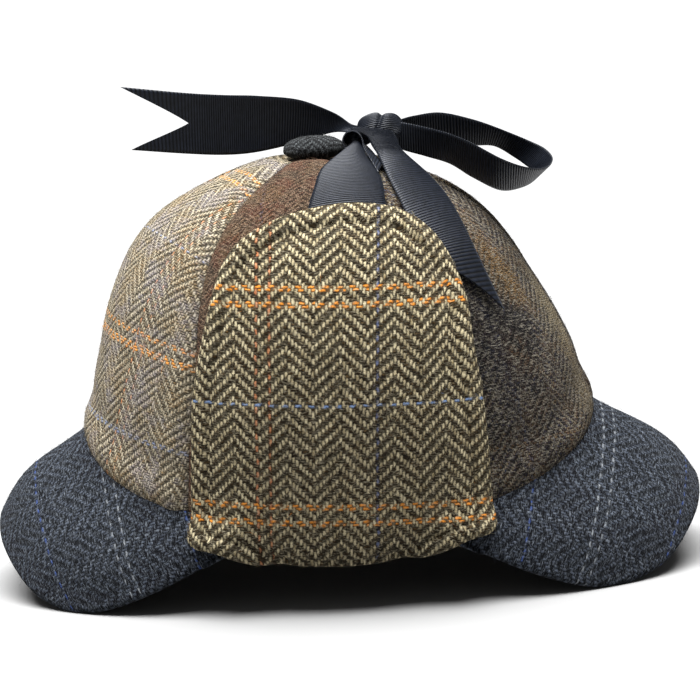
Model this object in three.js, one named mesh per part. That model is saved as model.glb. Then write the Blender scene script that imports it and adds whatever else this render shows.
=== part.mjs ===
// A deerstalker hat of patchwork tweed, standing on its two peaks with both ear flaps tied up over the crown.
// Millimetres, +Z up, +X along the hat from its rear peak to its front peak.
// The origin is on the surface it stands on, under the middle of the hat.
import * as THREE from "three";

// ---- Driving dimensions ----
const CLOTH = 2.6; // crown wall: tweed over a thin lining
const PEAK_WALL = 3.0; // two layers of tweed over a stiffener
const FLAP_WALL = 4.5; // two layers of tweed over wadding
const RIBBON_WALL = 1.0;
const SEAM_GAP = 0.36; // between two sewn panels
const SEAM_DEPTH = 1.1; // how far a seam is pulled in
const SEAM_REACH = 6.5; // how far from the seam the cloth starts to turn in
const SEAM_FADE = 30; // nearer the top than this radius, the seams grow shallow
const PANELS = 6;
const SEAM_TURN = THREE.MathUtils.degToRad(-4); // the crown is sewn a little turned on its peaks
const PANEL_END = 0.985; // the panels stop here on the meridian, under the button
const SHOULDER = 0.78; // up to here on the meridian, the crown rises all the way

// Crown outline, from under the rim to the top: half length along X, half width along Y, lean of its centre in X.
const CROWN = [
  { z: 14, length: 118, width: 88.5, lean: 0 },
  { z: 40, length: 117.5, width: 90, lean: 0 },
  { z: 62, length: 115, width: 90.4, lean: 0 },
  { z: 84, length: 110, width: 89.8, lean: -0.2 },
  { z: 105, length: 103.6, width: 87.4, lean: -1.0 },
  { z: 125, length: 97, width: 83, lean: -2.4 },
  { z: 142, length: 88.5, width: 76.6, lean: -3.4 },
  { z: 156, length: 77, width: 68, lean: -4 },
  { z: 167, length: 63, width: 57, lean: -4.3 },
  { z: 176, length: 46, width: 43.5, lean: -4.3 },
  { z: 182, length: 30, width: 28.5, lean: -4.3 },
  { z: 184.3, length: 20, width: 19.5, lean: -4.3 },
  { z: 183.4, length: 14, width: 14, lean: -4.3 },
  { z: 181.4, length: 8, width: 8, lean: -4.3 },
  { z: 181, length: 4.5, width: 4.5, lean: -4.3 },
];
const RIM = { front: 69, drop: 34, ease: 0.22, sideDip: 8, dipFrom: 0.9 };

// Free edge of a peak: angle along the rim, reach out from the rim, height over the ground.
const PEAK_EDGE = [
  { angle: 0, reach: 43, height: 30.5 },
  { angle: 12, reach: 42.3, height: 21.5 },
  { angle: 23, reach: 38, height: 5.5 },
  { angle: 31, reach: 32, height: 0 },
  { angle: 40, reach: 25, height: 0 },
  { angle: 51, reach: 16.5, height: 9.5 },
  { angle: 61, reach: 8, height: 20.5 },
  { angle: 67, reach: 3, height: 27 },
];
const PEAK = { bulge: 5, fullChord: 58, skew: 1.4, rootGap: 0.5, endAngle: 67, across: 6, along: 36 };

// Ear flap outline, from its lower corners to its top: height on the crown, middle and half width in X.
const FLAP_OUTLINE = [
  { z: 37, middle: 0.6, half: 61 },
  { z: 50, middle: 1, half: 60.7 },
  { z: 67, middle: 1.3, half: 59.9 },
  { z: 88, middle: 1.4, half: 58.4 },
  { z: 107, middle: 1.9, half: 55.3 },
  { z: 124.2, middle: 3.2, half: 52.2 },
  { z: 135, middle: 3.4, half: 49 },
  { z: 145, middle: 3.2, half: 44.7 },
  { z: 153, middle: 3.7, half: 38.4 },
  { z: 159.5, middle: 5.3, half: 28.4 },
  { z: 163.5, middle: 7.3, half: 15.5 },
];
const FLAP_TOP = { x: 8, z: 165 };
const FLAP = {
  gap: 3, // between the crown and the flap
  below: 12.5, // how far the flap goes on below its bend
  hinge: 2.3, // the bend starts this far over the rim
  edge: 2.6, // radius of the turned edge
  centre: { x: 2, z: 95 },
  corner: { inset: 0.035, lift: 4.8, top: 46, bottom: 32, inner: 34, outer: 46 }, // it lies over the peak's end
  bend: { full: 24, none: 39 }, // the lower edge turns under in the middle only
  rings: 7,
  crowding: 1.6, // the rings lie closer towards the edge
  arch: 25,
  bottom: 11,
};

// Ribbons: each row is a section with the two edges of the ribbon, a and b, and how far its middle bows out.
const TIE = [
  { ax: -7.5, ay: -62.2, az: 164, bx: 26, by: -56.1, bz: 164, bow: 2 },
  { ax: -5.5, ay: -54.4, az: 170.5, bx: 25, by: -47.4, bz: 170.5, bow: 2 },
  { ax: -3, ay: -44.2, az: 177, bx: 23, by: -35.8, bz: 177, bow: 2 },
  { ax: 1.5, ay: -31.8, az: 182.4, bx: 20, by: -24.6, bz: 182, bow: 1.5 },
  { ax: 8, ay: -19, az: 187, bx: 18, by: -18, bz: 185.2, bow: 1 },
  { ax: 11.5, ay: -12, az: 189.4, bx: 17, by: -13.2, bz: 187.8, bow: 0.5 },
];
const TAIL_LONG = [
  { ax: 30, ay: -11.6, az: 193.8, bx: 18.5, by: -12.6, bz: 194.4, bow: 0.6 },
  { ax: 36, ay: -13.6, az: 187, bx: 21.5, by: -20, bz: 188.2, bow: 1 },
  { ax: 46, ay: -19.8, az: 174.4, bx: 28, by: -37.4, bz: 176, bow: 1.2 },
  { ax: 53, ay: -32.2, az: 166, bx: 33, by: -51.7, bz: 165.2, bow: 1.3 },
  { ax: 58.5, ay: -43.5, az: 155.8, bx: 38, by: -61.6, bz: 153.2, bow: 1 },
  { ax: 64, ay: -51.4, az: 143.2, bx: 43.5, by: -67, bz: 141.7, bow: 0.9 },
  { ax: 74, ay: -56.6, az: 119.5, bx: 49.5, by: -67.6, bz: 134.5, bow: 1 },
];
const TAIL_SWALLOW = [
  { ax: 8, ay: 0, az: 198.6, bx: 8, by: 3, bz: 192.4, bow: 0.4 },
  { ax: 3.5, ay: 4, az: 203.6, bx: 3.5, by: 11, bz: 194.2, bow: 1.4 },
  { ax: -10, ay: 9, az: 208.6, bx: -12, by: 15.5, bz: 188.6, bow: 1.6 },
  { ax: -28, ay: 10, az: 211.2, bx: -29.5, by: 14, bz: 186, bow: 2 },
  { ax: -43, ay: 10, az: 212.4, bx: -44, by: 13, bz: 185.5, bow: 1.5 },
  { ax: -60, ay: 8, az: 214.4, bx: -61, by: 10, bz: 187.2, bow: 1 },
  { ax: -88.4, ay: 4, az: 218.9, bx: -85.6, by: 6, bz: 190.6, bow: 0.5 },
];
const SWALLOW_NOTCH = 0.15; // depth of the notch, as a share of the tail's length
const LOOP = [
  { ax: 33.5, ay: -5, az: 198, bx: 33, by: -4, bz: 190, bow: 0 },
  { ax: 45, ay: -10, az: 195.1, bx: 44.4, by: -2, bz: 181.6, bow: 0.6 },
  { ax: 55.6, ay: -15, az: 191.9, bx: 55.4, by: 2, bz: 177.2, bow: 1 },
  { ax: 64.8, ay: -18.5, az: 187.8, bx: 65, by: 3, bz: 170.6, bow: 1.2 },
  { ax: 76.6, ay: -20, az: 180.7, bx: 77, by: 3.6, bz: 164.2, bow: 1 },
  { ax: 88, ay: -16.5, az: 175.8, bx: 86.9, by: 5, bz: 164.8, bow: 0.4 },
  { ax: 97, ay: -8, az: 174.4, bx: 92.6, by: 7.6, bz: 167.6, bow: 0.2 },
  { ax: 100.8, ay: 2, az: 176.9, bx: 93.6, by: 11, bz: 170.6, bow: 0.2 },
  { ax: 98.4, ay: 12, az: 180.6, bx: 90, by: 14, bz: 173, bow: 0.2 },
  { ax: 91, ay: 18, az: 184.2, bx: 84.6, by: 15, bz: 177.4, bow: 0 },
  { ax: 78.9, ay: 20, az: 189.6, bx: 76, by: 13, bz: 183, bow: -0.4 },
  { ax: 66.5, ay: 19, az: 194.6, bx: 66, by: 10, bz: 184.6, bow: -0.6 },
  { ax: 52.3, ay: 14, az: 198.9, bx: 52, by: 7, bz: 187.6, bow: -0.4 },
  { ax: 41, ay: 7, az: 199, bx: 40.5, by: 3.4, bz: 190.6, bow: 0 },
  { ax: 34, ay: 2, az: 198, bx: 33.4, by: 0, bz: 192, bow: 0 },
];
const KNOT = { x: 20.5, y: -2.5, z: 195.2, length: 10.8, width: 8.4, height: 7.2, waist: 0.12 };

// Button profile, from its underside to its top.
const BUTTON_PROFILE = [
  { radius: 0, z: 182.2 },
  { radius: 8.5, z: 182.7 },
  { radius: 12, z: 184.4 },
  { radius: 13.4, z: 187 },
  { radius: 12.9, z: 189.6 },
  { radius: 10, z: 191.7 },
  { radius: 5.5, z: 192.7 },
  { radius: 0, z: 193 },
];

// ---- Small tools ----
const clamp01 = (value) => Math.min(Math.max(value, 0), 1);
const smoothstep = (value) => clamp01(value) ** 2 * (3 - 2 * clamp01(value));

// One column of a table as a smooth curve through its rows, at t from 0 to 1.
function column(rows, name, t) {
  const last = rows.length - 1;
  const i = Math.min(Math.floor(t * last), last - 1);
  const f = t * last - i;
  const [b, c] = [rows[i][name], rows[i + 1][name]];
  const a = i > 0 ? rows[i - 1][name] : 2 * b - c;
  const d = i + 2 <= last ? rows[i + 2][name] : 2 * c - b;
  return b + 0.5 * f * (c - a + f * (2 * a - 5 * b + 4 * c - d + f * (3 * (b - c) + d - a)));
}

// One column of a table as a smooth curve over another column, which rises from row to row.
function columnOver(rows, key, name, at) {
  let i = 0;
  while (i < rows.length - 2 && rows[i + 1][key] < at) i += 1;
  const span = rows[i + 1][key] - rows[i][key];
  const slope = (k) => {
    const [low, high] = [Math.max(k - 1, 0), Math.min(k + 1, rows.length - 1)];
    return k === 0 ? 0 : (rows[high][name] - rows[low][name]) / (rows[high][key] - rows[low][key]);
  };
  const t = clamp01((at - rows[i][key]) / span);
  const [t2, t3] = [t * t, t * t * t];
  const ends = (2 * t3 - 3 * t2 + 1) * rows[i][name] + (3 * t2 - 2 * t3) * rows[i + 1][name];
  return ends + span * ((t3 - 2 * t2 + t) * slope(i) + (t3 - t2) * slope(i + 1));
}

// The unit normal of a surface point(u, v), by small steps.
function normalAt(point, u, v) {
  const step = 1e-3;
  const alongU = point(u + step, v).sub(point(u - step, v));
  const alongV = point(u, v + step).sub(point(u, v - step));
  return alongU.cross(alongV).normalize();
}

// A closed mesh from corner points and triangles, turned so that its faces point out.
function closedGeometry(points, triangles) {
  let volume = 0;
  for (const [a, b, c] of triangles) {
    volume += points[a].dot(new THREE.Vector3().crossVectors(points[b], points[c]));
  }
  const faces = volume < 0 ? triangles.map(([a, b, c]) => [a, c, b]) : triangles;
  const geometry = new THREE.BufferGeometry().setFromPoints(points);
  geometry.setIndex(faces.flat());
  geometry.computeVertexNormals();
  return geometry;
}

// A wall between two grids of points, front and back, each of rows by columns, closed round its border.
function wallGeometry(front, back) {
  const [rows, columns] = [front.length, front[0].length];
  const points = [...front.flat(), ...back.flat()];
  const index = (side, i, j) => side * rows * columns + i * columns + j;
  const triangles = [];
  const quad = (a, b, c, d) => triangles.push([a, b, c], [a, c, d]);
  for (let i = 0; i < rows - 1; i += 1) {
    for (let j = 0; j < columns - 1; j += 1) {
      quad(index(0, i, j), index(0, i, j + 1), index(0, i + 1, j + 1), index(0, i + 1, j));
      quad(index(1, i, j), index(1, i + 1, j), index(1, i + 1, j + 1), index(1, i, j + 1));
    }
  }
  for (let i = 0; i < rows - 1; i += 1) {
    quad(index(0, i, 0), index(0, i + 1, 0), index(1, i + 1, 0), index(1, i, 0));
    const j = columns - 1;
    quad(index(0, i + 1, j), index(0, i, j), index(1, i, j), index(1, i + 1, j));
  }
  for (let j = 0; j < columns - 1; j += 1) {
    quad(index(0, 0, j + 1), index(0, 0, j), index(1, 0, j), index(1, 0, j + 1));
    const i = rows - 1;
    quad(index(0, i, j), index(0, i, j + 1), index(1, i, j + 1), index(1, i, j));
  }
  return closedGeometry(points, triangles);
}

const steps = (count) => Array.from({ length: count + 1 }, (_, i) => i / count);

// ---- The crown's surface ----
function crownPoint(angle, along) {
  const at = (name) => column(CROWN, name, along);
  return new THREE.Vector3(
    at("length") * Math.cos(angle) + at("lean"),
    at("width") * Math.sin(angle),
    at("z"),
  );
}

function crownNormal(angle, along) {
  return normalAt(crownPoint, angle, Math.min(along, 0.995));
}

// Where on the meridian, from 0 to 1, the crown reaches a height below its shoulder.
function alongAtHeight(z) {
  let [low, high] = [0, SHOULDER];
  for (let i = 0; i < 40; i += 1) {
    const middle = (low + high) / 2;
    if (column(CROWN, "z", middle) < z) low = middle;
    else high = middle;
  }
  return low;
}

// The height of the crown's lower edge: high over the peaks, low at the sides.
function rimHeight(angle) {
  const side = Math.abs(Math.sin(angle));
  const share = (Math.hypot(side, RIM.ease) - RIM.ease) / (Math.hypot(1, RIM.ease) - RIM.ease);
  const dip = RIM.sideDip * smoothstep((side - RIM.dipFrom) / (1 - RIM.dipFrom));
  return RIM.front - RIM.drop * share - dip;
}

// One sewn panel of the crown, between two seams.
function crownPanel(index) {
  const start = SEAM_TURN + (index * 2 * Math.PI) / PANELS;
  const middleAngle = start + Math.PI / PANELS;
  const across = [0, 0.05, 0.15, 0.32, 0.5, 0.68, 0.85, 0.95, 1]; // closer near the seams
  const front = [];
  const back = [];
  for (const v of steps(11)) {
    const outer = [];
    const inner = [];
    for (const u of across) {
      const middleRoot = alongAtHeight(rimHeight(middleAngle));
      const radius = column(CROWN, "width", middleRoot + (PANEL_END - middleRoot) * v);
      const gapAngle = SEAM_GAP / 2 / radius;
      const sweep = (2 * Math.PI) / PANELS - 2 * gapAngle;
      const angle = start + gapAngle + u * sweep;
      const root = alongAtHeight(rimHeight(angle));
      const along = root + (PANEL_END - root) * v;
      const fromSeam = Math.min(u, 1 - u) * sweep * radius;
      const pulled = SEAM_DEPTH * (1 - clamp01(fromSeam / SEAM_REACH)) ** 2 * Math.min(1, radius / SEAM_FADE);
      const normal = crownNormal(angle, along);
      outer.push(crownPoint(angle, along).addScaledVector(normal, -pulled));
      inner.push(crownPoint(angle, along).addScaledVector(normal, -pulled - CLOTH));
    }
    front.push(outer);
    back.push(inner);
  }
  return wallGeometry(front, back);
}

// ---- The peaks ----
// A point on a peak's upper side: angle along the rim in degrees, t from the rim (0) to the free edge (1).
function peakPoint(degrees, t) {
  const angle = THREE.MathUtils.degToRad(degrees);
  const root = crownPoint(angle, alongAtHeight(rimHeight(angle) - PEAK.rootGap));
  const rim = CROWN[2];
  const out = new THREE.Vector3(Math.cos(angle) / rim.length, Math.sin(angle) / rim.width, 0).normalize();
  const reach = columnOver(PEAK_EDGE, "angle", "reach", Math.abs(degrees));
  const height = Math.max(columnOver(PEAK_EDGE, "angle", "height", Math.abs(degrees)), 0);
  const drop = root.z - height;
  const chord = Math.hypot(reach, drop);
  const raised = new THREE.Vector3(out.x * drop, out.y * drop, reach).divideScalar(chord);
  const bulge = PEAK.bulge * (chord / PEAK.fullChord) * Math.sin(Math.PI * clamp01(t) ** PEAK.skew);
  const point = root.addScaledVector(out, reach * t).addScaledVector(raised, bulge);
  point.z -= drop * t;
  return point;
}

function peak(side) {
  const front = [];
  const back = [];
  for (const u of steps(PEAK.along)) {
    const degrees = PEAK.endAngle * (2 * u - 1);
    const upper = [];
    const lower = [];
    for (const t of steps(PEAK.across)) {
      const point = peakPoint(degrees, t);
      const normal = normalAt(peakPoint, degrees, Math.min(Math.max(t, 0.01), 0.99));
      if (normal.z < 0) normal.negate();
      const under = point.clone().addScaledVector(normal, -PEAK_WALL);
      for (const corner of [point, under]) {
        corner.x *= side;
        corner.z = Math.max(corner.z, 0);
      }
      upper.push(point);
      lower.push(under);
    }
    front.push(upper);
    back.push(lower);
  }
  return wallGeometry(front, back);
}

// ---- The ear flaps ----
function angleAtX(x, along) {
  const reach = (x - column(CROWN, "lean", along)) / column(CROWN, "length", along);
  return -Math.acos(THREE.MathUtils.clamp(reach, -1, 1));
}

// The height from which the flap bends round the rim.
function hingeHeight(x) {
  return rimHeight(angleAtX(x, alongAtHeight(CROWN[1].z))) + FLAP.hinge;
}

// A point of the flap's middle layer, lifted by a distance: x, and the height that it has before it bends.
function flapPoint(x, height, lift) {
  const hinge = hingeHeight(x);
  const along = alongAtHeight(Math.max(height, hinge));
  const angle = angleAtX(x, along);
  const normal = crownNormal(angle, along);
  const { lift: cornerLift, top, bottom, inner, outer } = FLAP.corner;
  const overPeak =
    smoothstep((top - height) / (top - bottom)) * smoothstep((Math.abs(x) - inner) / (outer - inner));
  const base = FLAP.gap + FLAP_WALL / 2;
  const point = crownPoint(angle, along).addScaledVector(normal, base + lift + cornerLift * overPeak);
  const below = Math.max(hinge - height, 0);
  const { full, none } = FLAP.bend;
  const turn = Math.max(1 - smoothstep((Math.abs(x) - full) / (none - full)), 1e-3);
  const radius = (base + CLOTH / 2) / turn;
  const bend = below / radius;
  const down = new THREE.Vector3(0, 0, -1).addScaledVector(normal, normal.z).normalize();
  point.addScaledVector(down, (radius + lift) * Math.sin(bend));
  return point.addScaledVector(normal, -(radius + lift) * (1 - Math.cos(bend)));
}

// The flap's outline as points of x and height, once round.
function flapOutline() {
  const corner = (sign, { z, middle, half }) => new THREE.Vector2(middle + sign * half, z);
  const sideOf = (sign) => FLAP_OUTLINE.map((row) => corner(sign, row));
  const arch = [...sideOf(1), new THREE.Vector2(FLAP_TOP.x, FLAP_TOP.z), ...sideOf(-1).reverse()];
  const outline = new THREE.SplineCurve(arch).getSpacedPoints(FLAP.arch);
  const [right, left] = [arch[0], arch[arch.length - 1]];
  for (const u of steps(FLAP.bottom - 1)) {
    const x = left.x + (right.x - left.x) * (FLAP.corner.inset + (1 - 2 * FLAP.corner.inset) * u);
    outline.push(new THREE.Vector2(x, hingeHeight(x) - FLAP.below));
  }
  return outline;
}

function earFlap(side) {
  const outline = flapOutline();
  const centre = new THREE.Vector2(FLAP.centre.x, FLAP.centre.z);
  const shares = steps(FLAP.rings).map((k) => 1 - (1 - k) ** FLAP.crowding);
  const points = [];
  const place = (x, height, lift) => {
    const point = flapPoint(x, height, lift);
    point.y *= side;
    points.push(point);
  };
  for (const face of [1, -1]) {
    place(centre.x, centre.y, (face * FLAP_WALL) / 2);
    for (const share of shares.slice(1, -1)) {
      for (const corner of outline) {
        const at = centre.clone().lerp(corner, share);
        const inside = clamp01(((1 - share) * corner.distanceTo(centre)) / FLAP.edge);
        place(at.x, at.y, (face * FLAP_WALL * Math.sqrt(1 - (1 - inside) ** 2)) / 2);
      }
    }
  }
  for (const corner of outline) place(corner.x, corner.y, 0);

  const count = outline.length;
  const rings = FLAP.rings - 1;
  const faceStart = (face) => face * (1 + rings * count);
  const ringStart = (face, k) => (k === rings ? faceStart(2) : faceStart(face) + 1 + k * count);
  const ring = (face, k, m) => ringStart(face, k) + (m % count);
  const triangles = [];
  for (const face of [0, 1]) {
    const add = (a, b, c) => triangles.push(face === 0 ? [a, b, c] : [a, c, b]);
    for (let m = 0; m < count; m += 1) {
      add(faceStart(face), ring(face, 0, m), ring(face, 0, m + 1));
      for (let k = 0; k < rings; k += 1) {
        add(ring(face, k, m), ring(face, k + 1, m), ring(face, k + 1, m + 1));
        add(ring(face, k, m), ring(face, k + 1, m + 1), ring(face, k, m + 1));
      }
    }
  }
  return closedGeometry(points, triangles);
}

// ---- The ribbons ----
// A ribbon through a table of sections, with its far end cut back towards its middle by a share of its length.
function ribbon(table, { side = 1, across = 4, along = 14, notch = 0 } = {}) {
  const surface = (u, v) => {
    const at = (name) => column(table, name, v);
    const a = new THREE.Vector3(at("ax"), at("ay") * side, at("az"));
    const b = new THREE.Vector3(at("bx"), at("by") * side, at("bz"));
    return a.lerp(b, u);
  };
  const front = [];
  const back = [];
  for (const share of steps(along)) {
    const upper = [];
    const lower = [];
    for (const u of steps(across)) {
      const v = share * (1 - notch * (1 - Math.abs(2 * u - 1)));
      const normal = normalAt(surface, u, Math.min(Math.max(v, 0.01), 0.99)).multiplyScalar(side);
      const middle = surface(u, v).addScaledVector(normal, column(table, "bow", v) * (1 - (2 * u - 1) ** 2));
      upper.push(middle.clone().addScaledVector(normal, RIBBON_WALL / 2));
      lower.push(middle.clone().addScaledVector(normal, -RIBBON_WALL / 2));
    }
    front.push(upper);
    back.push(lower);
  }
  return wallGeometry(front, back);
}

// The knot: a short bundle, pulled in round its middle.
function knot() {
  const geometry = new THREE.SphereGeometry(1, 16, 10);
  geometry.deleteAttribute("normal");
  geometry.deleteAttribute("uv");
  const position = geometry.getAttribute("position");
  for (let i = 0; i < position.count; i += 1) {
    const point = new THREE.Vector3().fromBufferAttribute(position, i);
    const round = 1 - KNOT.waist * (1 - Math.abs(point.x));
    position.setXYZ(i, point.x * KNOT.length, point.y * KNOT.width * round, point.z * KNOT.height * round);
  }
  geometry.computeVertexNormals();
  return geometry;
}

function button() {
  const profile = BUTTON_PROFILE.map(({ radius, z }) => new THREE.Vector2(radius, z));
  return new THREE.LatheGeometry(profile, 24);
}

// ---- Materials ----
const tweed = (color) => new THREE.MeshStandardMaterial({ color, roughness: 0.95, metalness: 0 });
const FLAP_TWEED = tweed(0x8a7a5c);
const NAVY_TWEED = tweed(0x343a48);
const OLIVE_TWEED = tweed(0x57503f);
const RUSSET_TWEED = tweed(0x6b5344);
const TAUPE_TWEED = tweed(0x8a8070);
const PANEL_TWEEDS = [OLIVE_TWEED, RUSSET_TWEED, TAUPE_TWEED, TAUPE_TWEED, RUSSET_TWEED, OLIVE_TWEED];
const RIBBON = new THREE.MeshStandardMaterial({ color: 0x1c1f26, roughness: 0.55, metalness: 0 });

// ---- Assembly ----
const group = new THREE.Group();

function add(name, geometry, material) {
  const mesh = new THREE.Mesh(geometry, material);
  mesh.name = name;
  group.add(mesh);
  return mesh;
}

for (let i = 0; i < PANELS; i += 1) {
  add(`crown_panel_${i + 1}`, crownPanel(i), PANEL_TWEEDS[i]);
}
add("front_peak", peak(1), NAVY_TWEED);
add("rear_peak", peak(-1), NAVY_TWEED);
add("ear_flap_near", earFlap(1), FLAP_TWEED);
add("ear_flap_far", earFlap(-1), FLAP_TWEED);

const buttonMesh = add("crown_button", button(), NAVY_TWEED);
buttonMesh.rotation.x = Math.PI / 2; // the lathe turns round Y, the hat stands along Z
buttonMesh.position.x = CROWN[CROWN.length - 1].lean;

add("tie_near", ribbon(TIE, { along: 8 }), RIBBON);
add("tie_far", ribbon(TIE, { side: -1, along: 8 }), RIBBON);
add("tail_long", ribbon(TAIL_LONG), RIBBON);
add("tail_swallow", ribbon(TAIL_SWALLOW, { notch: SWALLOW_NOTCH }), RIBBON);
add("bow_loop", ribbon(LOOP, { along: 30 }), RIBBON);
add("bow_knot", knot(), RIBBON).position.set(KNOT.x, KNOT.y, KNOT.z);

export default group;
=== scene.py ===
"""A deerstalker hat of patchwork tweed, standing on its two peaks, with its ear flaps tied up over the crown.

Shape tables are in millimetres, as a hatter measures. Meshes are in metres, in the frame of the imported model:
+X runs from the rear peak to the front peak, -Y points to the near ear flap, and +Z is up.
"""

from __future__ import annotations

import logging
import math
import sys
from dataclasses import dataclass, field
from enum import Enum
from typing import NamedTuple

import bmesh
import bpy
import numpy as np
from mathutils import Matrix, Vector, noise

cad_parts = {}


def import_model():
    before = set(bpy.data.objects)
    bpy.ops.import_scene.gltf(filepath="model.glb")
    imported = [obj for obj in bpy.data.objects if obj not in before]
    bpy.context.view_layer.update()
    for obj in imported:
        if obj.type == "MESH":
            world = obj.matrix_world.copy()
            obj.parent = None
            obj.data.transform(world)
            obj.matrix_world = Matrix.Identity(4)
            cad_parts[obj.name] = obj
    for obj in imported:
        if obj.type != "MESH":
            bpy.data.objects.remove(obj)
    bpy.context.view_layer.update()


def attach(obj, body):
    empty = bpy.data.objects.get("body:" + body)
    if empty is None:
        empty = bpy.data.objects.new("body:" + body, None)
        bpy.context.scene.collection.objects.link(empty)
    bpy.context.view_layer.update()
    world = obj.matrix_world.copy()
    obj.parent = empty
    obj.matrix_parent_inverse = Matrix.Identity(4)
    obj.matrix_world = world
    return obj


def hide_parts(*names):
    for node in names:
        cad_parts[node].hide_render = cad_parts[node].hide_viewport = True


log = logging.getLogger("hat")

MM = 0.001
CLOTH_UV = "cloth"  # the piece's own map, in millimetres of flat cloth


# ---------------------------------------------------------------- small tools


def linear(hex_colour: str) -> tuple[float, float, float, float]:
    """Turns an sRGB hex value into linear colour.

    Args:
        hex_colour: six hex digits, such as "d8c9a3".

    Returns:
        Linear red, green, blue and an alpha of 1.
    """
    parts = [int(hex_colour[i : i + 2], 16) / 255 for i in (0, 2, 4)]
    made = [p / 12.92 if p <= 0.04045 else ((p + 0.055) / 1.055) ** 2.4 for p in parts]
    return made[0], made[1], made[2], 1.0


def smoothstep(value: np.ndarray) -> np.ndarray:
    """Rises smoothly from 0 at 0 to 1 at 1."""
    held = np.clip(value, 0.0, 1.0)
    return held * held * (3 - 2 * held)


def unit(vectors: np.ndarray) -> np.ndarray:
    """Scales vectors on the last axis to length 1."""
    return vectors / np.maximum(np.linalg.norm(vectors, axis=-1, keepdims=True), 1e-12)


def spline(rows: np.ndarray, t: np.ndarray) -> np.ndarray:
    """Reads a table as a smooth curve through its evenly spaced rows.

    Args:
        rows: rows by columns.
        t: places along the rows, from 0 to 1.

    Returns:
        The columns' values, on a new last axis.
    """
    last = len(rows) - 1
    place = np.clip(np.asarray(t, float), 0, 1) * last
    i = np.minimum(np.floor(place).astype(int), last - 1)
    f = (place - i)[..., None]
    before, after = 2 * rows[0] - rows[1], 2 * rows[last] - rows[last - 1]
    padded = np.vstack([before, rows, after])
    a, b, c, d = (padded[i + k] for k in range(4))
    return b + 0.5 * f * (c - a + f * (2 * a - 5 * b + 4 * c - d + f * (3 * (b - c) + d - a)))


def spline_over(keys: np.ndarray, values: np.ndarray, at: np.ndarray) -> np.ndarray:
    """Reads values as a smooth curve over keys that rise from row to row, level at the first."""
    slopes = np.gradient(values, keys)
    ends = (values[2:] - values[:-2]) / (keys[2:] - keys[:-2])
    slopes[1:-1], slopes[0] = ends, 0.0
    i = np.clip(np.searchsorted(keys, at) - 1, 0, len(keys) - 2)
    span = keys[i + 1] - keys[i]
    t = np.clip((at - keys[i]) / span, 0, 1)
    t2, t3 = t * t, t * t * t
    held = (2 * t3 - 3 * t2 + 1) * values[i] + (3 * t2 - 2 * t3) * values[i + 1]
    return held + span * ((t3 - 2 * t2 + t) * slopes[i] + (t3 - t2) * slopes[i + 1])


def ripple(points: np.ndarray, scale: float, seed: float) -> np.ndarray:
    """Smooth noise at each point, about -1 to 1.

    Args:
        points: places in millimetres, on the last axis.
        scale: the size of a ripple in millimetres.
        seed: moves the noise, so that pieces differ.

    Returns:
        One value for each point.
    """
    flat = points.reshape(-1, 3) / scale + seed
    return np.array([noise.noise(Vector(p)) for p in flat]).reshape(points.shape[:-1])


def grid_normals(points: np.ndarray) -> np.ndarray:
    """Unit normals of a grid of points, rows by columns, from its own slopes."""
    return unit(np.cross(np.gradient(points, axis=1), np.gradient(points, axis=0)))


def rounded(distance: np.ndarray, radius: float) -> np.ndarray:
    """The share of its full thickness that a piece has at a distance from its rounded edge."""
    inside = np.clip(distance / radius, 0, 1)
    return np.sqrt(np.clip(1 - (1 - inside) ** 2, 0, 1))


def grid_quads(rows: int, columns: int, start: int = 0, closed: bool = False) -> list[tuple[int, ...]]:
    """Quads over a grid of vertices.

    Args:
        rows: rows of vertices.
        columns: vertices in each row.
        start: index of the first vertex.
        closed: whether the last column joins the first.

    Returns:
        Vertex indices of each quad.
    """
    last = columns if closed else columns - 1
    quads = []
    for i in range(rows - 1):
        for j in range(last):
            k = (j + 1) % columns
            a, b = start + i * columns, start + (i + 1) * columns
            quads.append((a + j, a + k, b + k, b + j))
    return quads


def make_object(name: str, points: np.ndarray, faces: list, uvs: np.ndarray) -> bpy.types.Object:
    """Makes a closed, smooth mesh object with its cloth map.

    Args:
        name: the piece's name.
        points: vertices in millimetres.
        faces: vertex indices of each face.
        uvs: a place in millimetres of flat cloth for each vertex.

    Returns:
        The new object, with its faces turned outwards.
    """
    mesh = bpy.data.meshes.new(name)
    mesh.from_pydata((points * MM).tolist(), [], faces)
    layer = mesh.uv_layers.new(name=CLOTH_UV)
    corners = np.empty(len(mesh.loops), np.int32)
    mesh.loops.foreach_get("vertex_index", corners)
    layer.data.foreach_set("uv", uvs[corners].astype(np.float32).ravel())
    shape = bmesh.new()
    shape.from_mesh(mesh)
    bmesh.ops.recalc_face_normals(shape, faces=shape.faces)
    shape.to_mesh(mesh)
    shape.free()
    mesh.polygons.foreach_set("use_smooth", [True] * len(mesh.polygons))
    piece = bpy.data.objects.new(name, mesh)
    bpy.context.scene.collection.objects.link(piece)
    return piece


def wall_object(name: str, front: np.ndarray, back: np.ndarray, uvs: np.ndarray) -> bpy.types.Object:
    """Makes a wall from its front and back grids, joined round their border.

    Args:
        name: the piece's name.
        front: front grid in millimetres, rows by columns by 3.
        back: back grid, the same shape.
        uvs: the cloth map of both, rows by columns by 2.

    Returns:
        The new object.
    """
    rows, columns = front.shape[:2]
    count = rows * columns
    faces = grid_quads(rows, columns) + grid_quads(rows, columns, count)
    top = list(range(columns))
    right = [i * columns + columns - 1 for i in range(1, rows)]
    bottom = [(rows - 1) * columns + j for j in range(columns - 2, -1, -1)]
    left = [i * columns for i in range(rows - 2, 0, -1)]
    border = top + right + bottom + left
    for here, there in zip(border, border[1:] + border[:1]):
        faces.append((here, there, there + count, here + count))
    points = np.vstack([front.reshape(-1, 3), back.reshape(-1, 3)])
    return make_object(name, points, faces, np.vstack([uvs.reshape(-1, 2)] * 2))


def deselect_all() -> None:
    """Leaves nothing selected, since an operator acts on all that is."""
    for other in bpy.context.selected_objects:
        other.select_set(False)


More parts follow.
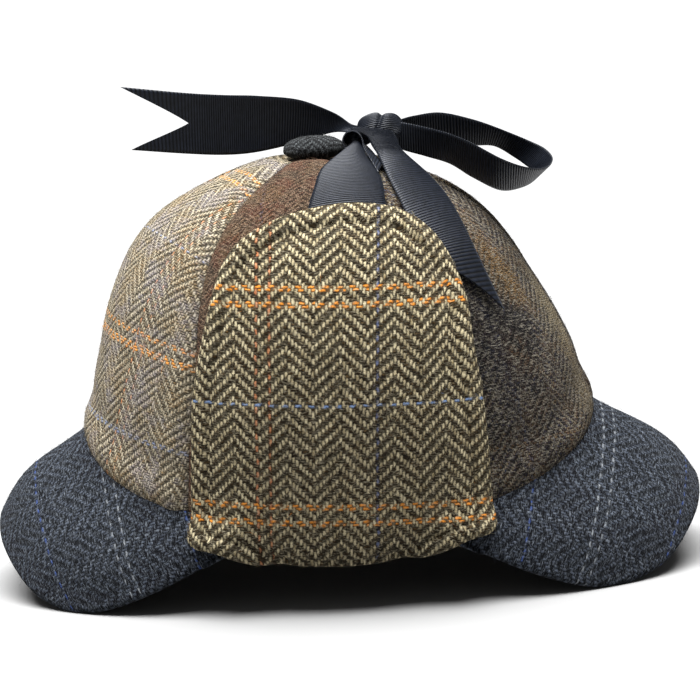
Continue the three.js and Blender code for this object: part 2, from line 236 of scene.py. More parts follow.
# ------------------------------------------------------------------ materials


@dataclass
class ShaderGraph:
    """The node tree of one material."""

    name: str
    material: bpy.types.Material = field(init=False)

    def __post_init__(self) -> None:
        """Starts an empty tree."""
        self.material = bpy.data.materials.new(self.name)
        self.material.use_nodes = True
        self.material.node_tree.nodes.clear()

    def add(self, kind: str, *inputs: object, output: object = 0, named: dict | None = None, **settings: object):
        """Adds one node, sets it and links it.

        Args:
            kind: the node's type, without its "ShaderNode".
            inputs: values or sockets for its inputs in order, None to leave one.
            output: which output to return.
            named: values or sockets for inputs by name.
            settings: the node's own properties.

        Returns:
            The chosen output socket, or the node itself where it has none.
        """
        tree = self.material.node_tree
        node = tree.nodes.new("ShaderNode" + kind)
        for key, value in settings.items():
            setattr(node, key, value)
        for key, value in [*enumerate(inputs), *(named or {}).items()]:
            if isinstance(value, bpy.types.NodeSocket):
                tree.links.new(value, node.inputs[key])
            elif value is not None:
                node.inputs[key].default_value = value
        return node.outputs[output] if node.outputs else node


class Along(Enum):
    """Which way a line of the overcheck runs: its yarns are warp or weft."""

    WARP = 0
    WEFT = 1


@dataclass(frozen=True)
class CheckLine:
    """A coloured line of the overcheck, in millimetres of cloth."""

    along: Along
    at: float
    width: float
    colour: str
    period: float = 92.0
    strength: float = 0.85


class Zone(NamedTuple):
    """A soft-edged area mixed to another colour, its place and radius in millimetres: on the olive panels a wool spun
    in, on the ear flaps painted shade over their lower part.
    """

    tint: str
    across: float
    up: float
    radius: float
    amount: float


@dataclass(frozen=True)
class TweedFinish:
    """Woollen tweed, woven as a herringbone twill: matt, hairy, with a yarn-by-yarn mix of heather colours."""

    name: str
    warp: tuple[str, str]
    weft: tuple[str, str]
    fleck: tuple[str, str]
    fleck_share: float = 0.3
    warp_pitch: float = 1.32
    weft_pitch: float = 1.33
    ends_in_rib: int = 8
    lines: tuple[CheckLine, ...] = ()
    contrast: float = 1.0
    fuzz: float = 0.25
    turn: float = 0.0
    shift: tuple[float, float] = (0.0, 0.0)
    relief: float = 0.45
    patches: tuple[tuple[str, float, float], ...] = ()
    zones: tuple[Zone, ...] = ()
    hair: tuple[str, str] = ("cfc4a8", "14110d")
    hairiness: float = 0.45
    stroke: float = 1.0
    gain: float = 1.0

    def build(self) -> bpy.types.Material:
        """Makes the material.

        The twill is worked out from the yarns' own pitch. Warp floats are long along the rib and step by one
        yarn to the side, which gives the slanted lines; each rib turns the step round, which gives the bone.

        Returns:
            The material, which reads the piece's cloth map.
        """
        g = ShaderGraph(self.name)
        add = g.add
        cloth = add("UVMap", uv_map=CLOTH_UV)
        placed = add(
            "Mapping", cloth, (*self.shift, 0.0), (0, 0, math.radians(self.turn)), (1, 1, 1), vector_type="POINT"
        )
        slack = add("TexNoise", placed, named={"Scale": 0.16, "Detail": 2.0}, output="Color")
        tight = add("TexNoise", placed, named={"Scale": 1.1, "Detail": 3.0, "Roughness": 0.7}, output="Color")
        slack = add("VectorMath", slack, (0.5, 0.5, 0.5), operation="SUBTRACT")
        tight = add("VectorMath", tight, (0.5, 0.5, 0.5), operation="SUBTRACT")
        moved = add("VectorMath", slack, (1.6, 1.6, 0), placed, operation="MULTIPLY_ADD")
        moved = add("VectorMath", tight, (1.5, 1.5, 0), moved, operation="MULTIPLY_ADD")
        across = add("SeparateXYZ", moved, output=0)
        up = add("SeparateXYZ", moved, output=1)

        u = add("Math", across, self.warp_pitch, operation="DIVIDE")
        v = add("Math", up, self.weft_pitch, operation="DIVIDE")
        end = add("Math", u, operation="FLOOR")
        pick = add("Math", v, operation="FLOOR")
        rib = add("Math", add("Math", end, self.ends_in_rib, operation="DIVIDE"), operation="FLOOR")
        odd = add("Math", add("Math", rib, 2, operation="DIVIDE"), operation="FRACT")
        odd = add("Math", odd, 2, operation="MULTIPLY")
        rib_start = add("Math", rib, self.ends_in_rib, operation="MULTIPLY")
        way = add("Math", odd, -2, 1, operation="MULTIPLY_ADD")
        step = add("Math", add("Math", end, rib_start, operation="SUBTRACT"), way, operation="MULTIPLY")
        slide = add("Math", add("Math", u, rib_start, operation="SUBTRACT"), way, operation="MULTIPLY")
        cut = add("Math", odd, 2.0, operation="MULTIPLY")
        warp_phase = add("Math", add("Math", v, step, operation="ADD"), cut, operation="ADD")
        warp_phase = add("Math", warp_phase, 4, operation="DIVIDE")
        warp_float = add("Math", warp_phase, operation="FLOOR")
        warp_phase = add("Math", warp_phase, operation="FRACT")
        weft_phase = add("Math", add("Math", pick, slide, operation="ADD"), cut, operation="ADD")
        weft_phase = add("Math", weft_phase, 4, operation="DIVIDE")
        weft_float = add("Math", weft_phase, operation="FLOOR")
        weft_phase = add("Math", weft_phase, operation="FRACT")

        heights = []
        for place, phase, start in ((u, warp_phase, 0.0), (v, weft_phase, 0.5)):
            inside = add("Math", place, operation="FRACT")
            round_ = add("Math", add("Math", inside, math.pi, operation="MULTIPLY"), operation="SINE")
            since = add("Math", phase, start, operation="SUBTRACT")
            swell = add("Math", add("Math", since, 2 * math.pi, operation="MULTIPLY"), operation="SINE")
            body = add("Math", add("Math", swell, 0.0, operation="MAXIMUM"), 0.5, operation="POWER")
            heights.append(add("Math", round_, body, operation="MULTIPLY"))
        over = add("Math", heights[0], heights[1], operation="SUBTRACT")
        warp_shows = add("MapRange", over, -0.22 / self.contrast, 0.22 / self.contrast, 0.0, 1.0)
        height = add("Math", heights[0], heights[1], operation="MAXIMUM")

        shades = []
        threads = ((Along.WARP, end, warp_float, self.warp), (Along.WEFT, pick, weft_float, self.weft))
        for along, index, float_, colours in threads:
            lot = add("TexWhiteNoise", None, index, noise_dimensions="1D")
            each = add("TexWhiteNoise", add("CombineXYZ", index, float_, 0.0), noise_dimensions="2D")
            stretch = (1.5, 0.5, 1) if along is Along.WARP else (0.5, 1.5, 1)
            fibre = add("VectorMath", moved, stretch, operation="MULTIPLY")
            fibre = add("TexNoise", fibre, named={"Scale": 1.3, "Detail": 4.0, "Roughness": 0.75})
            mixed = add("Math", fibre, 2.4, -1.05, operation="MULTIPLY_ADD")
            mixed = add("Math", lot, 0.25, mixed, operation="MULTIPLY_ADD")
            mixed = add("Math", each, 0.55, mixed, operation="MULTIPLY_ADD", use_clamp=True)
            shade = add("MixRGB", mixed, linear(colours[0]), linear(colours[1]))
            for line in self.lines:
                if line.along is not along:
                    continue
                pitch = self.warp_pitch if along is Along.WARP else self.weft_pitch
                middle = add("Math", index, pitch, 0.5 * pitch - line.at + 0.5 * line.period, operation="MULTIPLY_ADD")
                turn = add("Math", add("Math", middle, line.period, operation="DIVIDE"), operation="FRACT")
                off = add("Math", add("Math", turn, 0.5, operation="SUBTRACT"), operation="ABSOLUTE")
                mask = add("Math", off, 0.5 * line.width / line.period, operation="LESS_THAN")
                worn = add("MapRange", fibre, 0.36, 0.5, 0.25 * line.strength, line.strength)
                mask = add("Math", mask, worn, operation="MULTIPLY")
                shade = add("MixRGB", mask, shade, linear(line.colour))
            shades.append(shade)
        colour = add("MixRGB", warp_shows, shades[1], shades[0])

        specks = add("TexNoise", moved, named={"Scale": 0.75, "Detail": 4.0, "Roughness": 0.75})
        speck = add("MapRange", specks, 0.62 - 0.12 * self.fleck_share, 0.70, 0.0, 0.75)
        colour = add("MixRGB", speck, colour, linear(self.fleck[0]))
        specks = add("TexNoise", add("VectorMath", moved, (31.7, 8.3, 0), operation="ADD"),
                     named={"Scale": 0.9, "Detail": 4.0, "Roughness": 0.75})
        speck = add("MapRange", specks, 0.64 - 0.12 * self.fleck_share, 0.72, 0.0, 0.65)
        colour = add("MixRGB", speck, colour, linear(self.fleck[1]))
        for tint, amount, place in self.patches:
            cloud = add("VectorMath", placed, (place, -place, 0), operation="ADD")
            cloud = add("TexNoise", cloud, named={"Scale": 0.05, "Detail": 6.0, "Roughness": 0.8})
            cloud = add("MapRange", cloud, 0.49, 0.56, 0.0, amount)
            colour = add("MixRGB", cloud, colour, linear(tint))
        # Painted shade: the weave's hollows between yarns darken the colour, and the yarns' crowns lighten it.
        depth = add("MapRange", height, 0.1, 0.85, 0.16, 1.15)
        ragged = add("TexNoise", placed, named={"Scale": 0.2, "Detail": 6.0, "Roughness": 0.85})
        ragged = add("Math", ragged, 3.6, -1.8, operation="MULTIPLY_ADD")
        # Zones mix in another colour: spun-in wool on the olive panels, painted shade on the lower part of the ear
        # flaps.
        for zone in self.zones:
            off = add("VectorMath", placed, (zone.across, zone.up, 0), operation="SUBTRACT")
            off = add("VectorMath", off, (1 / zone.radius, 0.8 / zone.radius, 0), operation="MULTIPLY")
            reach = add("Math", add("VectorMath", off, operation="LENGTH", output="Value"), ragged, operation="ADD")
            reach = add("Math", specks, 1.6, reach, operation="MULTIPLY_ADD")
            share = add("MapRange", reach, 2.1, 1.4, 0.0, zone.amount)
            colour = add("MixRGB", share, colour, linear(zone.tint))
        weave_shade = add("CombineXYZ", depth, depth, depth)
        colour = add("MixRGB", 1.0, colour, weave_shade, blend_type="MULTIPLY")
        lies = []
        for turn in (12.0, 68.0, 124.0):
            lie = add("Mapping", moved, (turn, 0.0, 0.0), (0, 0, math.radians(turn)),
                      (0.42 * self.stroke, 2.4 * self.stroke, 1))
            lies.append(add("TexNoise", lie, named={"Scale": 1.0, "Detail": 2.5, "Roughness": 0.6}))
        for lie, near, far, tint in (
            *((lie, 0.57, 0.68, self.hair[0]) for lie in lies),
            *((lie, 0.42, 0.31, self.hair[1]) for lie in lies),
        ):
            stroke = add("MapRange", lie, near, far, 0.0, self.hairiness)
            colour = add("MixRGB", stroke, colour, linear(tint))
        worn = add("TexNoise", placed, named={"Scale": 0.03, "Detail": 2.0})
        worn = add("MapRange", worn, 0.3, 0.7, 0.92 * self.gain, 1.08 * self.gain)
        colour = add("MixRGB", 1.0, colour, add("CombineXYZ", worn, worn, worn), blend_type="MULTIPLY")

        hairs = add("TexNoise", moved, named={"Scale": 2.2, "Detail": 4.0, "Roughness": 0.85})
        relief = add("Math", hairs, self.fuzz, height, operation="MULTIPLY_ADD")
        relief = add("Math", lies[0], self.fuzz, relief, operation="MULTIPLY_ADD")
        relief = add("Math", lies[1], self.fuzz, relief, operation="MULTIPLY_ADD")
        bump = add("Bump", named={"Strength": 0.9, "Distance": self.relief * MM, "Height": relief})
        shader = add(
            "BsdfPrincipled",
            named={
                "Base Color": colour,
                "Roughness": 0.95,
                "Specular IOR Level": 0.05,
                "Sheen Weight": 0.02,
                "Sheen Roughness": 0.55,
                "Sheen Tint": (0.85, 0.82, 0.78, 1.0),
                "Normal": bump,
            },
        )
        add("OutputMaterial", shader)
        return g.material


@dataclass(frozen=True)
class GrosgrainFinish:
    """Polyester grosgrain: fine warp threads packed over thick ribs, so it is dark with a soft satin gleam."""

    name: str
    thread: str
    dust: str
    rib_pitch: float = 1.0

    def build(self) -> bpy.types.Material:
        """Makes the material, which reads the ribbon's own map: across, then along, in millimetres."""
        g = ShaderGraph(self.name)
        add = g.add
        cloth = add("UVMap", uv_map=CLOTH_UV)
        along = add("SeparateXYZ", cloth, output=1)
        wave = add("Math", add("Math", along, math.pi / self.rib_pitch, operation="MULTIPLY"), operation="SINE")
        rib = add("Math", wave, operation="ABSOLUTE")
        lot = add("TexNoise", cloth, named={"Scale": 0.35, "Detail": 3.0})
        colour = add("MixRGB", add("MapRange", lot, 0.3, 0.8, 0.0, 1.0), linear(self.thread), linear(self.dust))
        # Painted shade: the grooves between the ribs darken the thread colour almost to black.
        tone = add("MapRange", rib, 0.3, 0.85, 0.05, 1.0)
        colour = add("MixRGB", 1.0, colour, add("CombineXYZ", tone, tone, tone), blend_type="MULTIPLY")
        fine = add("TexNoise", cloth, named={"Scale": 3.0, "Detail": 3.0})
        relief = add("Math", fine, 0.15, rib, operation="MULTIPLY_ADD")
        bump = add("Bump", named={"Strength": 1.0, "Distance": 0.22 * MM, "Height": relief})
        shader = add(
            "BsdfPrincipled",
            named={
                "Base Color": colour,
                "Roughness": 0.4,
                "Specular IOR Level": 0.24,
                "Specular Tint": linear("dcdfe6"),
                "Sheen Weight": 0.04,
                "Sheen Roughness": 0.35,
                "Sheen Tint": linear("b4c4e0"),
                "Normal": bump,
            },
        )
        add("OutputMaterial", shader)
        return g.material


@dataclass(frozen=True)
class PaperFinish:
    """Matt white paper of a photographer's backdrop."""

    name: str
    tone: str

    def build(self) -> bpy.types.Material:
        """Makes the material, with the paper's faint tooth."""
        g = ShaderGraph(self.name)
        tooth = g.add("TexNoise", g.add("TexCoord", output="Object"), named={"Scale": 900.0, "Detail": 3.0})
        bump = g.add("Bump", named={"Strength": 0.1, "Distance": 0.05 * MM, "Height": tooth})
        shader = g.add(
            "BsdfPrincipled", named={"Base Color": linear(self.tone), "Roughness": 0.9, "Normal": bump}
        )
        g.add("OutputMaterial", shader)
        return g.material


# Cream and dark brown herringbone of the ear flaps, with orange and blue overcheck lines.
FLAP_TWEED = TweedFinish(
    name="wool_herringbone_cream_brown",
    gain=0.74,
    hairiness=0.3,
    warp=("857655", "dacda9"),
    weft=("100d0a", "3c2f1c"),
    fleck=("745a34", "201912"),
    fleck_share=0.5,
    # Painted shade: this dark zone darkens the lower part of both flaps, where the light falls off.
    zones=(Zone("1d160f", 0, 20, 56, 0.4),),
    turn=2.7,
    lines=(
        CheckLine(Along.WEFT, 116.2, 2.7, "f0983a", 89.0, 0.9),
        CheckLine(Along.WEFT, 122.2, 2.7, "f0983a", 89.0, 0.9),
        CheckLine(Along.WEFT, 75.4, 1.4, "7d98c4", 89.0, 0.9),
        CheckLine(Along.WARP, -28.4, 1.4, "b85a24", 103.0, 0.75),
        CheckLine(Along.WARP, -34.2, 1.4, "b85a24", 103.0, 0.75),
        CheckLine(Along.WARP, 13.7, 1.4, "2c4a80", 103.0, 0.9),
    ),
)
# Grey taupe herringbone of the two rear panels, with an orange overcheck.
TAUPE_TWEED = TweedFinish(
    name="wool_herringbone_grey_taupe",
    gain=0.92,
    hairiness=0.42,
    warp_pitch=1.15,
    weft_pitch=1.15,
    ends_in_rib=9,
    warp=("7f7663", "c2b7a0"),
    weft=("2e2923", "685e50"),
    fleck=("a07c46", "4b4336"),
    fleck_share=0.6,
    contrast=0.65,
    patches=(("9c7c4c", 0.25, 51.0), ("8d8994", 0.4, 17.0)),
    turn=8.0,
    lines=(
        CheckLine(Along.WEFT, 99.5, 2.4, "ec9a42", 86.0, 0.95),
        CheckLine(Along.WEFT, 106.0, 2.4, "ec9a42", 86.0, 0.8),
        CheckLine(Along.WEFT, 148.0, 1.4, "8a9cc0", 86.0, 0.7),
        CheckLine(Along.WARP, 1.0, 1.4, "c06a2c", 90.0, 0.75),
        CheckLine(Along.WARP, 6.6, 1.4, "c06a2c", 90.0, 0.5),
    ),
)
# Reddish brown tweed of the two side panels, most of which lies under the flaps.
RUSSET_TWEED = TweedFinish(
    name="wool_twill_russet_brown",
    gain=0.5,
    warp_pitch=0.8,
    weft_pitch=0.8,
    warp=("5a3f32", "a58a74"),
    weft=("15100d", "3c2c27"),
    patches=(("8e6e48", 0.45, 23.0), ("7a3f30", 0.5, 61.0), ("4a4a44", 0.4, 5.0)),
    hair=("bda288", "1c1310"),
    hairiness=0.78,
    fleck=("b09674", "7a3a28"),
    fleck_share=1.1,
    contrast=0.6,
    fuzz=0.7,
    lines=(CheckLine(Along.WEFT, 30.0, 1.6, "a8562a"), CheckLine(Along.WARP, -18.0, 1.6, "4a6590", 80.0, 0.7)),
)
# Olive and blue-black tweed of the two front panels, with golden patches.
OLIVE_TWEED = TweedFinish(
    name="wool_tweed_olive_blue_black",
    gain=0.62,
    warp_pitch=1.05,
    weft_pitch=1.05,
    ends_in_rib=12,
    warp=("4c4c44", "b0a78e"),
    weft=("07090e", "202329"),
    fleck=("8a6a34", "2c3e74"),
    fleck_share=1.6,
    contrast=0.6,
    fuzz=0.6,
    patches=(("10141f", 0.4, 13.0), ("7d5c2a", 0.25, 71.0)),
    zones=(
        Zone("a07a3c", 2, 118, 11, 0.5),
        Zone("946a30", -10, 90, 9, 0.45),
        Zone("96703a", -4, 134, 10, 0.35),
        Zone("0a0f1c", -20, 108, 24, 0.66),
        Zone("0a0f1c", -2, 98, 10, 0.6),
        Zone("0b101c", -22, 72, 30, 0.5),
        Zone("a39474", 36, 102, 16, 0.6),
        Zone("8b7c5e", 36, 66, 16, 0.5),
    ),
    hair=("9a9486", "07090f"),
    hairiness=0.66,
    stroke=0.62,
    lines=(
        CheckLine(Along.WEFT, 133.0, 2.0, "8f6a34", 84.0, 0.7),
        CheckLine(Along.WARP, 6.0, 2.0, "8a6030", 60.0, 0.55),
        CheckLine(Along.WARP, -20.0, 1.6, "3c5078", 60.0, 0.7),
    ),
)
# Navy charcoal tweed of the peaks: a soft milled face that hides most of its weave.
NAVY_TWEED = TweedFinish(
    name="wool_milled_tweed_navy_charcoal",
    gain=0.42,
    warp=("2c313c", "5c6472"),
    weft=("0c0e13", "1f232b"),
    fleck=("7c8590", "1b1f28"),
    fleck_share=0.4,
    contrast=0.6,
    fuzz=0.7,
    stroke=0.8,
    hair=("a6b0be", "07080b"),
    hairiness=0.42,
    lines=(
        CheckLine(Along.WEFT, 99.6, 1.4, "c3c9d0", 76.0, 0.7),
        CheckLine(Along.WEFT, 104.2, 1.4, "c3c9d0", 76.0, 0.55),
        CheckLine(Along.WEFT, 142.0, 1.8, "4a66b0", 76.0, 0.8),
        CheckLine(Along.WARP, -8.0, 1.4, "9aa2ad", 70.0, 0.4),
    ),
)
# Charcoal tweed of the covered button.
CHARCOAL_TWEED = TweedFinish(
    name="wool_tweed_charcoal",
    gain=0.45,
    warp=("303335", "6c7073"),
    weft=("0e0f10", "26282a"),
    fleck=("8a8e90", "1c1d1f"),
    warp_pitch=1.0,
    weft_pitch=1.0,
    contrast=0.8,
    fuzz=0.5,
    hair=("8a8e90", "0e0f10"),
)
RIBBON_BLACK = GrosgrainFinish(name="polyester_grosgrain_black", thread="0d1016", dust="1a1e28")
BACKDROP = PaperFinish(name="paper_backdrop_pale", tone="828282")


# -------------------------------------------------------------- the crown


class CrownRow(NamedTuple):
    """One level of the crown's outline, in millimetres."""

    z: float
    length: float
    width: float
    lean: float


@dataclass
class CrownShape:
    """The crown's outer surface, which the panels, flaps and ribbons all lie on."""

    rows: tuple[CrownRow, ...] = (
        CrownRow(14, 118, 88.5, 0),
        CrownRow(40, 117.5, 90, 0),
        CrownRow(62, 115, 90.4, 0),
        CrownRow(84, 110, 89.8, -0.2),
        CrownRow(105, 103.6, 87.4, -1.0),
        CrownRow(125, 97, 83, -2.4),
        CrownRow(142, 88.5, 76.6, -3.4),
        CrownRow(156, 77, 68, -4),
        CrownRow(167, 63, 57, -4.3),
        CrownRow(176, 46, 43.5, -4.3),
        CrownRow(182, 30, 28.5, -4.3),
        CrownRow(184.3, 20, 19.5, -4.3),
        CrownRow(183.4, 14, 14, -4.3),
        CrownRow(181.4, 8, 8, -4.3),
        CrownRow(181, 4.5, 4.5, -4.3),
    )
    shoulder: float = 0.78
    front_rim: float = 69.0
    rim_drop: float = 34.0
    rim_ease: float = 0.22
    side_dip: float = 8.0
    dip_from: float = 0.9

    def __post_init__(self) -> None:
        """Works out the crown's heights and lengths along its meridian."""
        self.table = np.array(self.rows, float)
        self.steps = np.linspace(0, 1, 2001)
        values = spline(self.table, self.steps)
        rising = self.steps <= self.shoulder
        self.heights = values[rising, 0]
        mean = 0.5 * (values[:, 1] + values[:, 2])
        self.lengths = np.concatenate([[0], np.cumsum(np.hypot(np.diff(mean), np.diff(values[:, 0])))])
        self.slants = -np.gradient(mean, self.lengths)

    def point(self, angle: np.ndarray, along: np.ndarray) -> np.ndarray:
        """A point of the surface at an angle round it and a share of the meridian."""
        values = spline(self.table, along)
        x = values[..., 1] * np.cos(angle) + values[..., 3]
        y = values[..., 2] * np.sin(angle)
        return np.stack([x, y, values[..., 0]], axis=-1)

    def normal(self, angle: np.ndarray, along: np.ndarray) -> np.ndarray:
        """The outward unit normal of the surface."""
        step = 1e-3
        held = np.minimum(along, 0.995)
        round_ = self.point(angle + step, held) - self.point(angle - step, held)
        up = self.point(angle, held + step) - self.point(angle, held - step)
        return unit(np.cross(round_, up))

    def along_at(self, z: np.ndarray) -> np.ndarray:
        """Where on the meridian the crown reaches a height below its shoulder."""
        return np.interp(z, self.heights, self.steps[: len(self.heights)])

    def rim(self, angle: np.ndarray) -> np.ndarray:
        """The height of the crown's lower edge: high over the peaks, low at the sides."""
        side = np.abs(np.sin(angle))
        ease = self.rim_ease
        share = (np.hypot(side, ease) - ease) / (math.hypot(1, ease) - ease)
        dip = self.side_dip * smoothstep((side - self.dip_from) / (1 - self.dip_from))
        return self.front_rim - self.rim_drop * share - dip

    def angle_at(self, x: np.ndarray, along: np.ndarray) -> np.ndarray:
        """The angle of the near side's point with a given x."""
        values = spline(self.table, along)
        return -np.arccos(np.clip((x - values[..., 3]) / values[..., 1], -1, 1))

    def meridian(self, along: np.ndarray) -> np.ndarray:
        """Length of cloth up the meridian to a share of it."""
        return np.interp(along, self.steps, self.lengths)

    def cloth(self, angle: np.ndarray, along: np.ndarray, middle: float) -> np.ndarray:
        """Where a point lies on the flat cloth of a wedge cut with its grain up its middle.

        Args:
            angle: angle round the crown.
            along: share of the meridian.
            middle: angle of the wedge's middle line.

        Returns:
            Distance across and up the cloth, in millimetres.
        """
        values = spline(self.table, along)
        halfway = 0.5 * (angle + middle)
        reach = np.hypot(values[..., 1] * np.sin(halfway), values[..., 2] * np.cos(halfway))
        slant = np.interp(along, self.steps, self.slants)
        sweep = angle - middle
        across = reach * sweep
        up = self.meridian(along) + 0.5 * reach * sweep**2 * np.clip(slant, 0, 0.8)
        return np.stack([across, up], axis=-1)


class Dent(NamedTuple):
    """A soft hollow of the worn crown: where it is, how wide and high, and how deep, in degrees and millimetres."""

    angle: float
    z: float
    spread: float
    height: float
    depth: float


@dataclass
class Crown:
    """Six wedges of tweed, sewn edge to edge, each seam pulled in."""

    shape: CrownShape
    panels: int = 6
    seam_turn: float = -4.0
    wall: float = 2.4
    seam_gap: float = 0.12
    seam_depth: float = 2.7
    seam_reach: float = 7.5
    seam_fade: float = 30.0
    panel_end: float = 0.985
    hem: float = 1.4
    drop: float = 0.7
    across: int = 60
    up: int = 96
    dents: tuple[Dent, ...] = (Dent(0, 135, 40, 22, 3.4), Dent(180, 160, 40, 14, -1.2), Dent(4, 60, 40, 10, -1.4))
    tweeds: tuple[TweedFinish, ...] = (
        OLIVE_TWEED,
        RUSSET_TWEED,
        TAUPE_TWEED,
        TAUPE_TWEED,
        RUSSET_TWEED,
        OLIVE_TWEED,
    )

    def panel(self, index: int) -> bpy.types.Object:
        """Makes one wedge.

        Args:
            index: which wedge, counted from the front.

        Returns:
            The panel's object.
        """
        sweep = 2 * math.pi / self.panels
        start = math.radians(self.seam_turn) + index * sweep
        middle = start + 0.5 * sweep
        spread = 0.5 - 0.5 * np.cos(np.linspace(0, math.pi, self.across + 1))
        spread = 0.55 * spread + 0.45 * np.linspace(0, 1, self.across + 1)
        share, u = np.meshgrid(np.linspace(0, 1, self.up + 1) ** 1.05, spread, indexing="ij")
        middle_root = float(self.shape.along_at(self.shape.rim(np.array(middle))))
        radius = spline(self.shape.table, middle_root + (self.panel_end - middle_root) * share)[..., 2]
        gap = 0.5 * self.seam_gap / radius
        angle = start + gap + u * (sweep - 2 * gap)
        root = self.shape.along_at(self.shape.rim(angle) - self.drop)
        along = root + (self.panel_end - root) * share
        surface = self.shape.point(angle, along)
        normal = self.shape.normal(angle, along)

        from_seam = np.minimum(u, 1 - u) * sweep * radius
        from_hem = self.shape.meridian(along) - self.shape.meridian(root)
        fade = np.minimum(1, radius / self.seam_fade)
        pulled = self.seam_depth * fade * (1 - np.clip(from_seam / self.seam_reach, 0, 1)) ** 2
        pucker = np.sin(2 * math.pi * self.shape.meridian(along) / 5.2 + 2.1 * index)
        pulled = pulled + 0.22 * fade * pucker * np.exp(-((from_seam - 2.6) / 1.8) ** 2)
        turned = self.hem - self.hem * rounded(from_hem, self.hem)
        roll = 0.9 * np.exp(-((from_hem - 7.0) / 5.0) ** 2) - 0.8 * np.exp(-((from_hem - 19.0) / 6.0) ** 2)
        slack = 0.55 * ripple(surface, 34.0, 3.1 * index) + 0.22 * ripple(surface, 12.0, 1.7 * index + 5)
        calm = np.clip(from_seam / 10.0, 0, 1) * fade
        lift = -pulled - 0.5 * turned + roll * fade * np.clip(from_seam / 6.0, 0.3, 1) + slack * calm
        for dent in self.dents:
            round_ = 2 * np.sin(0.5 * (angle - math.radians(dent.angle))) / math.radians(dent.spread)
            lift = lift - dent.depth * np.exp(-(round_**2) - ((surface[..., 2] - dent.z) / dent.height) ** 2)
        front = surface + normal * lift[..., None]
        back = surface + normal * (np.minimum(lift, 0.2) - self.wall)[..., None]
        uvs = self.shape.cloth(angle, along, middle)
        return wall_object(f"panel_{index + 1}", front, back, uvs)

    def build(self) -> list[bpy.types.Object]:
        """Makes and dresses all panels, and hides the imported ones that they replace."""
        finishes = {tweed.name: tweed.build() for tweed in self.tweeds}
        made = []
        for index, tweed in enumerate(self.tweeds):
            piece = self.panel(index)
            piece.data.materials.append(finishes[tweed.name])
            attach(piece, "root")
            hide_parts(f"crown_panel_{index + 1}")
            made.append(piece)
        return made


# -------------------------------------------------------------- the peaks


class PeakRow(NamedTuple):
    """A place on a peak's free edge: angle along the rim, reach out from it, height over the ground."""

    angle: float
    reach: float
    height: float


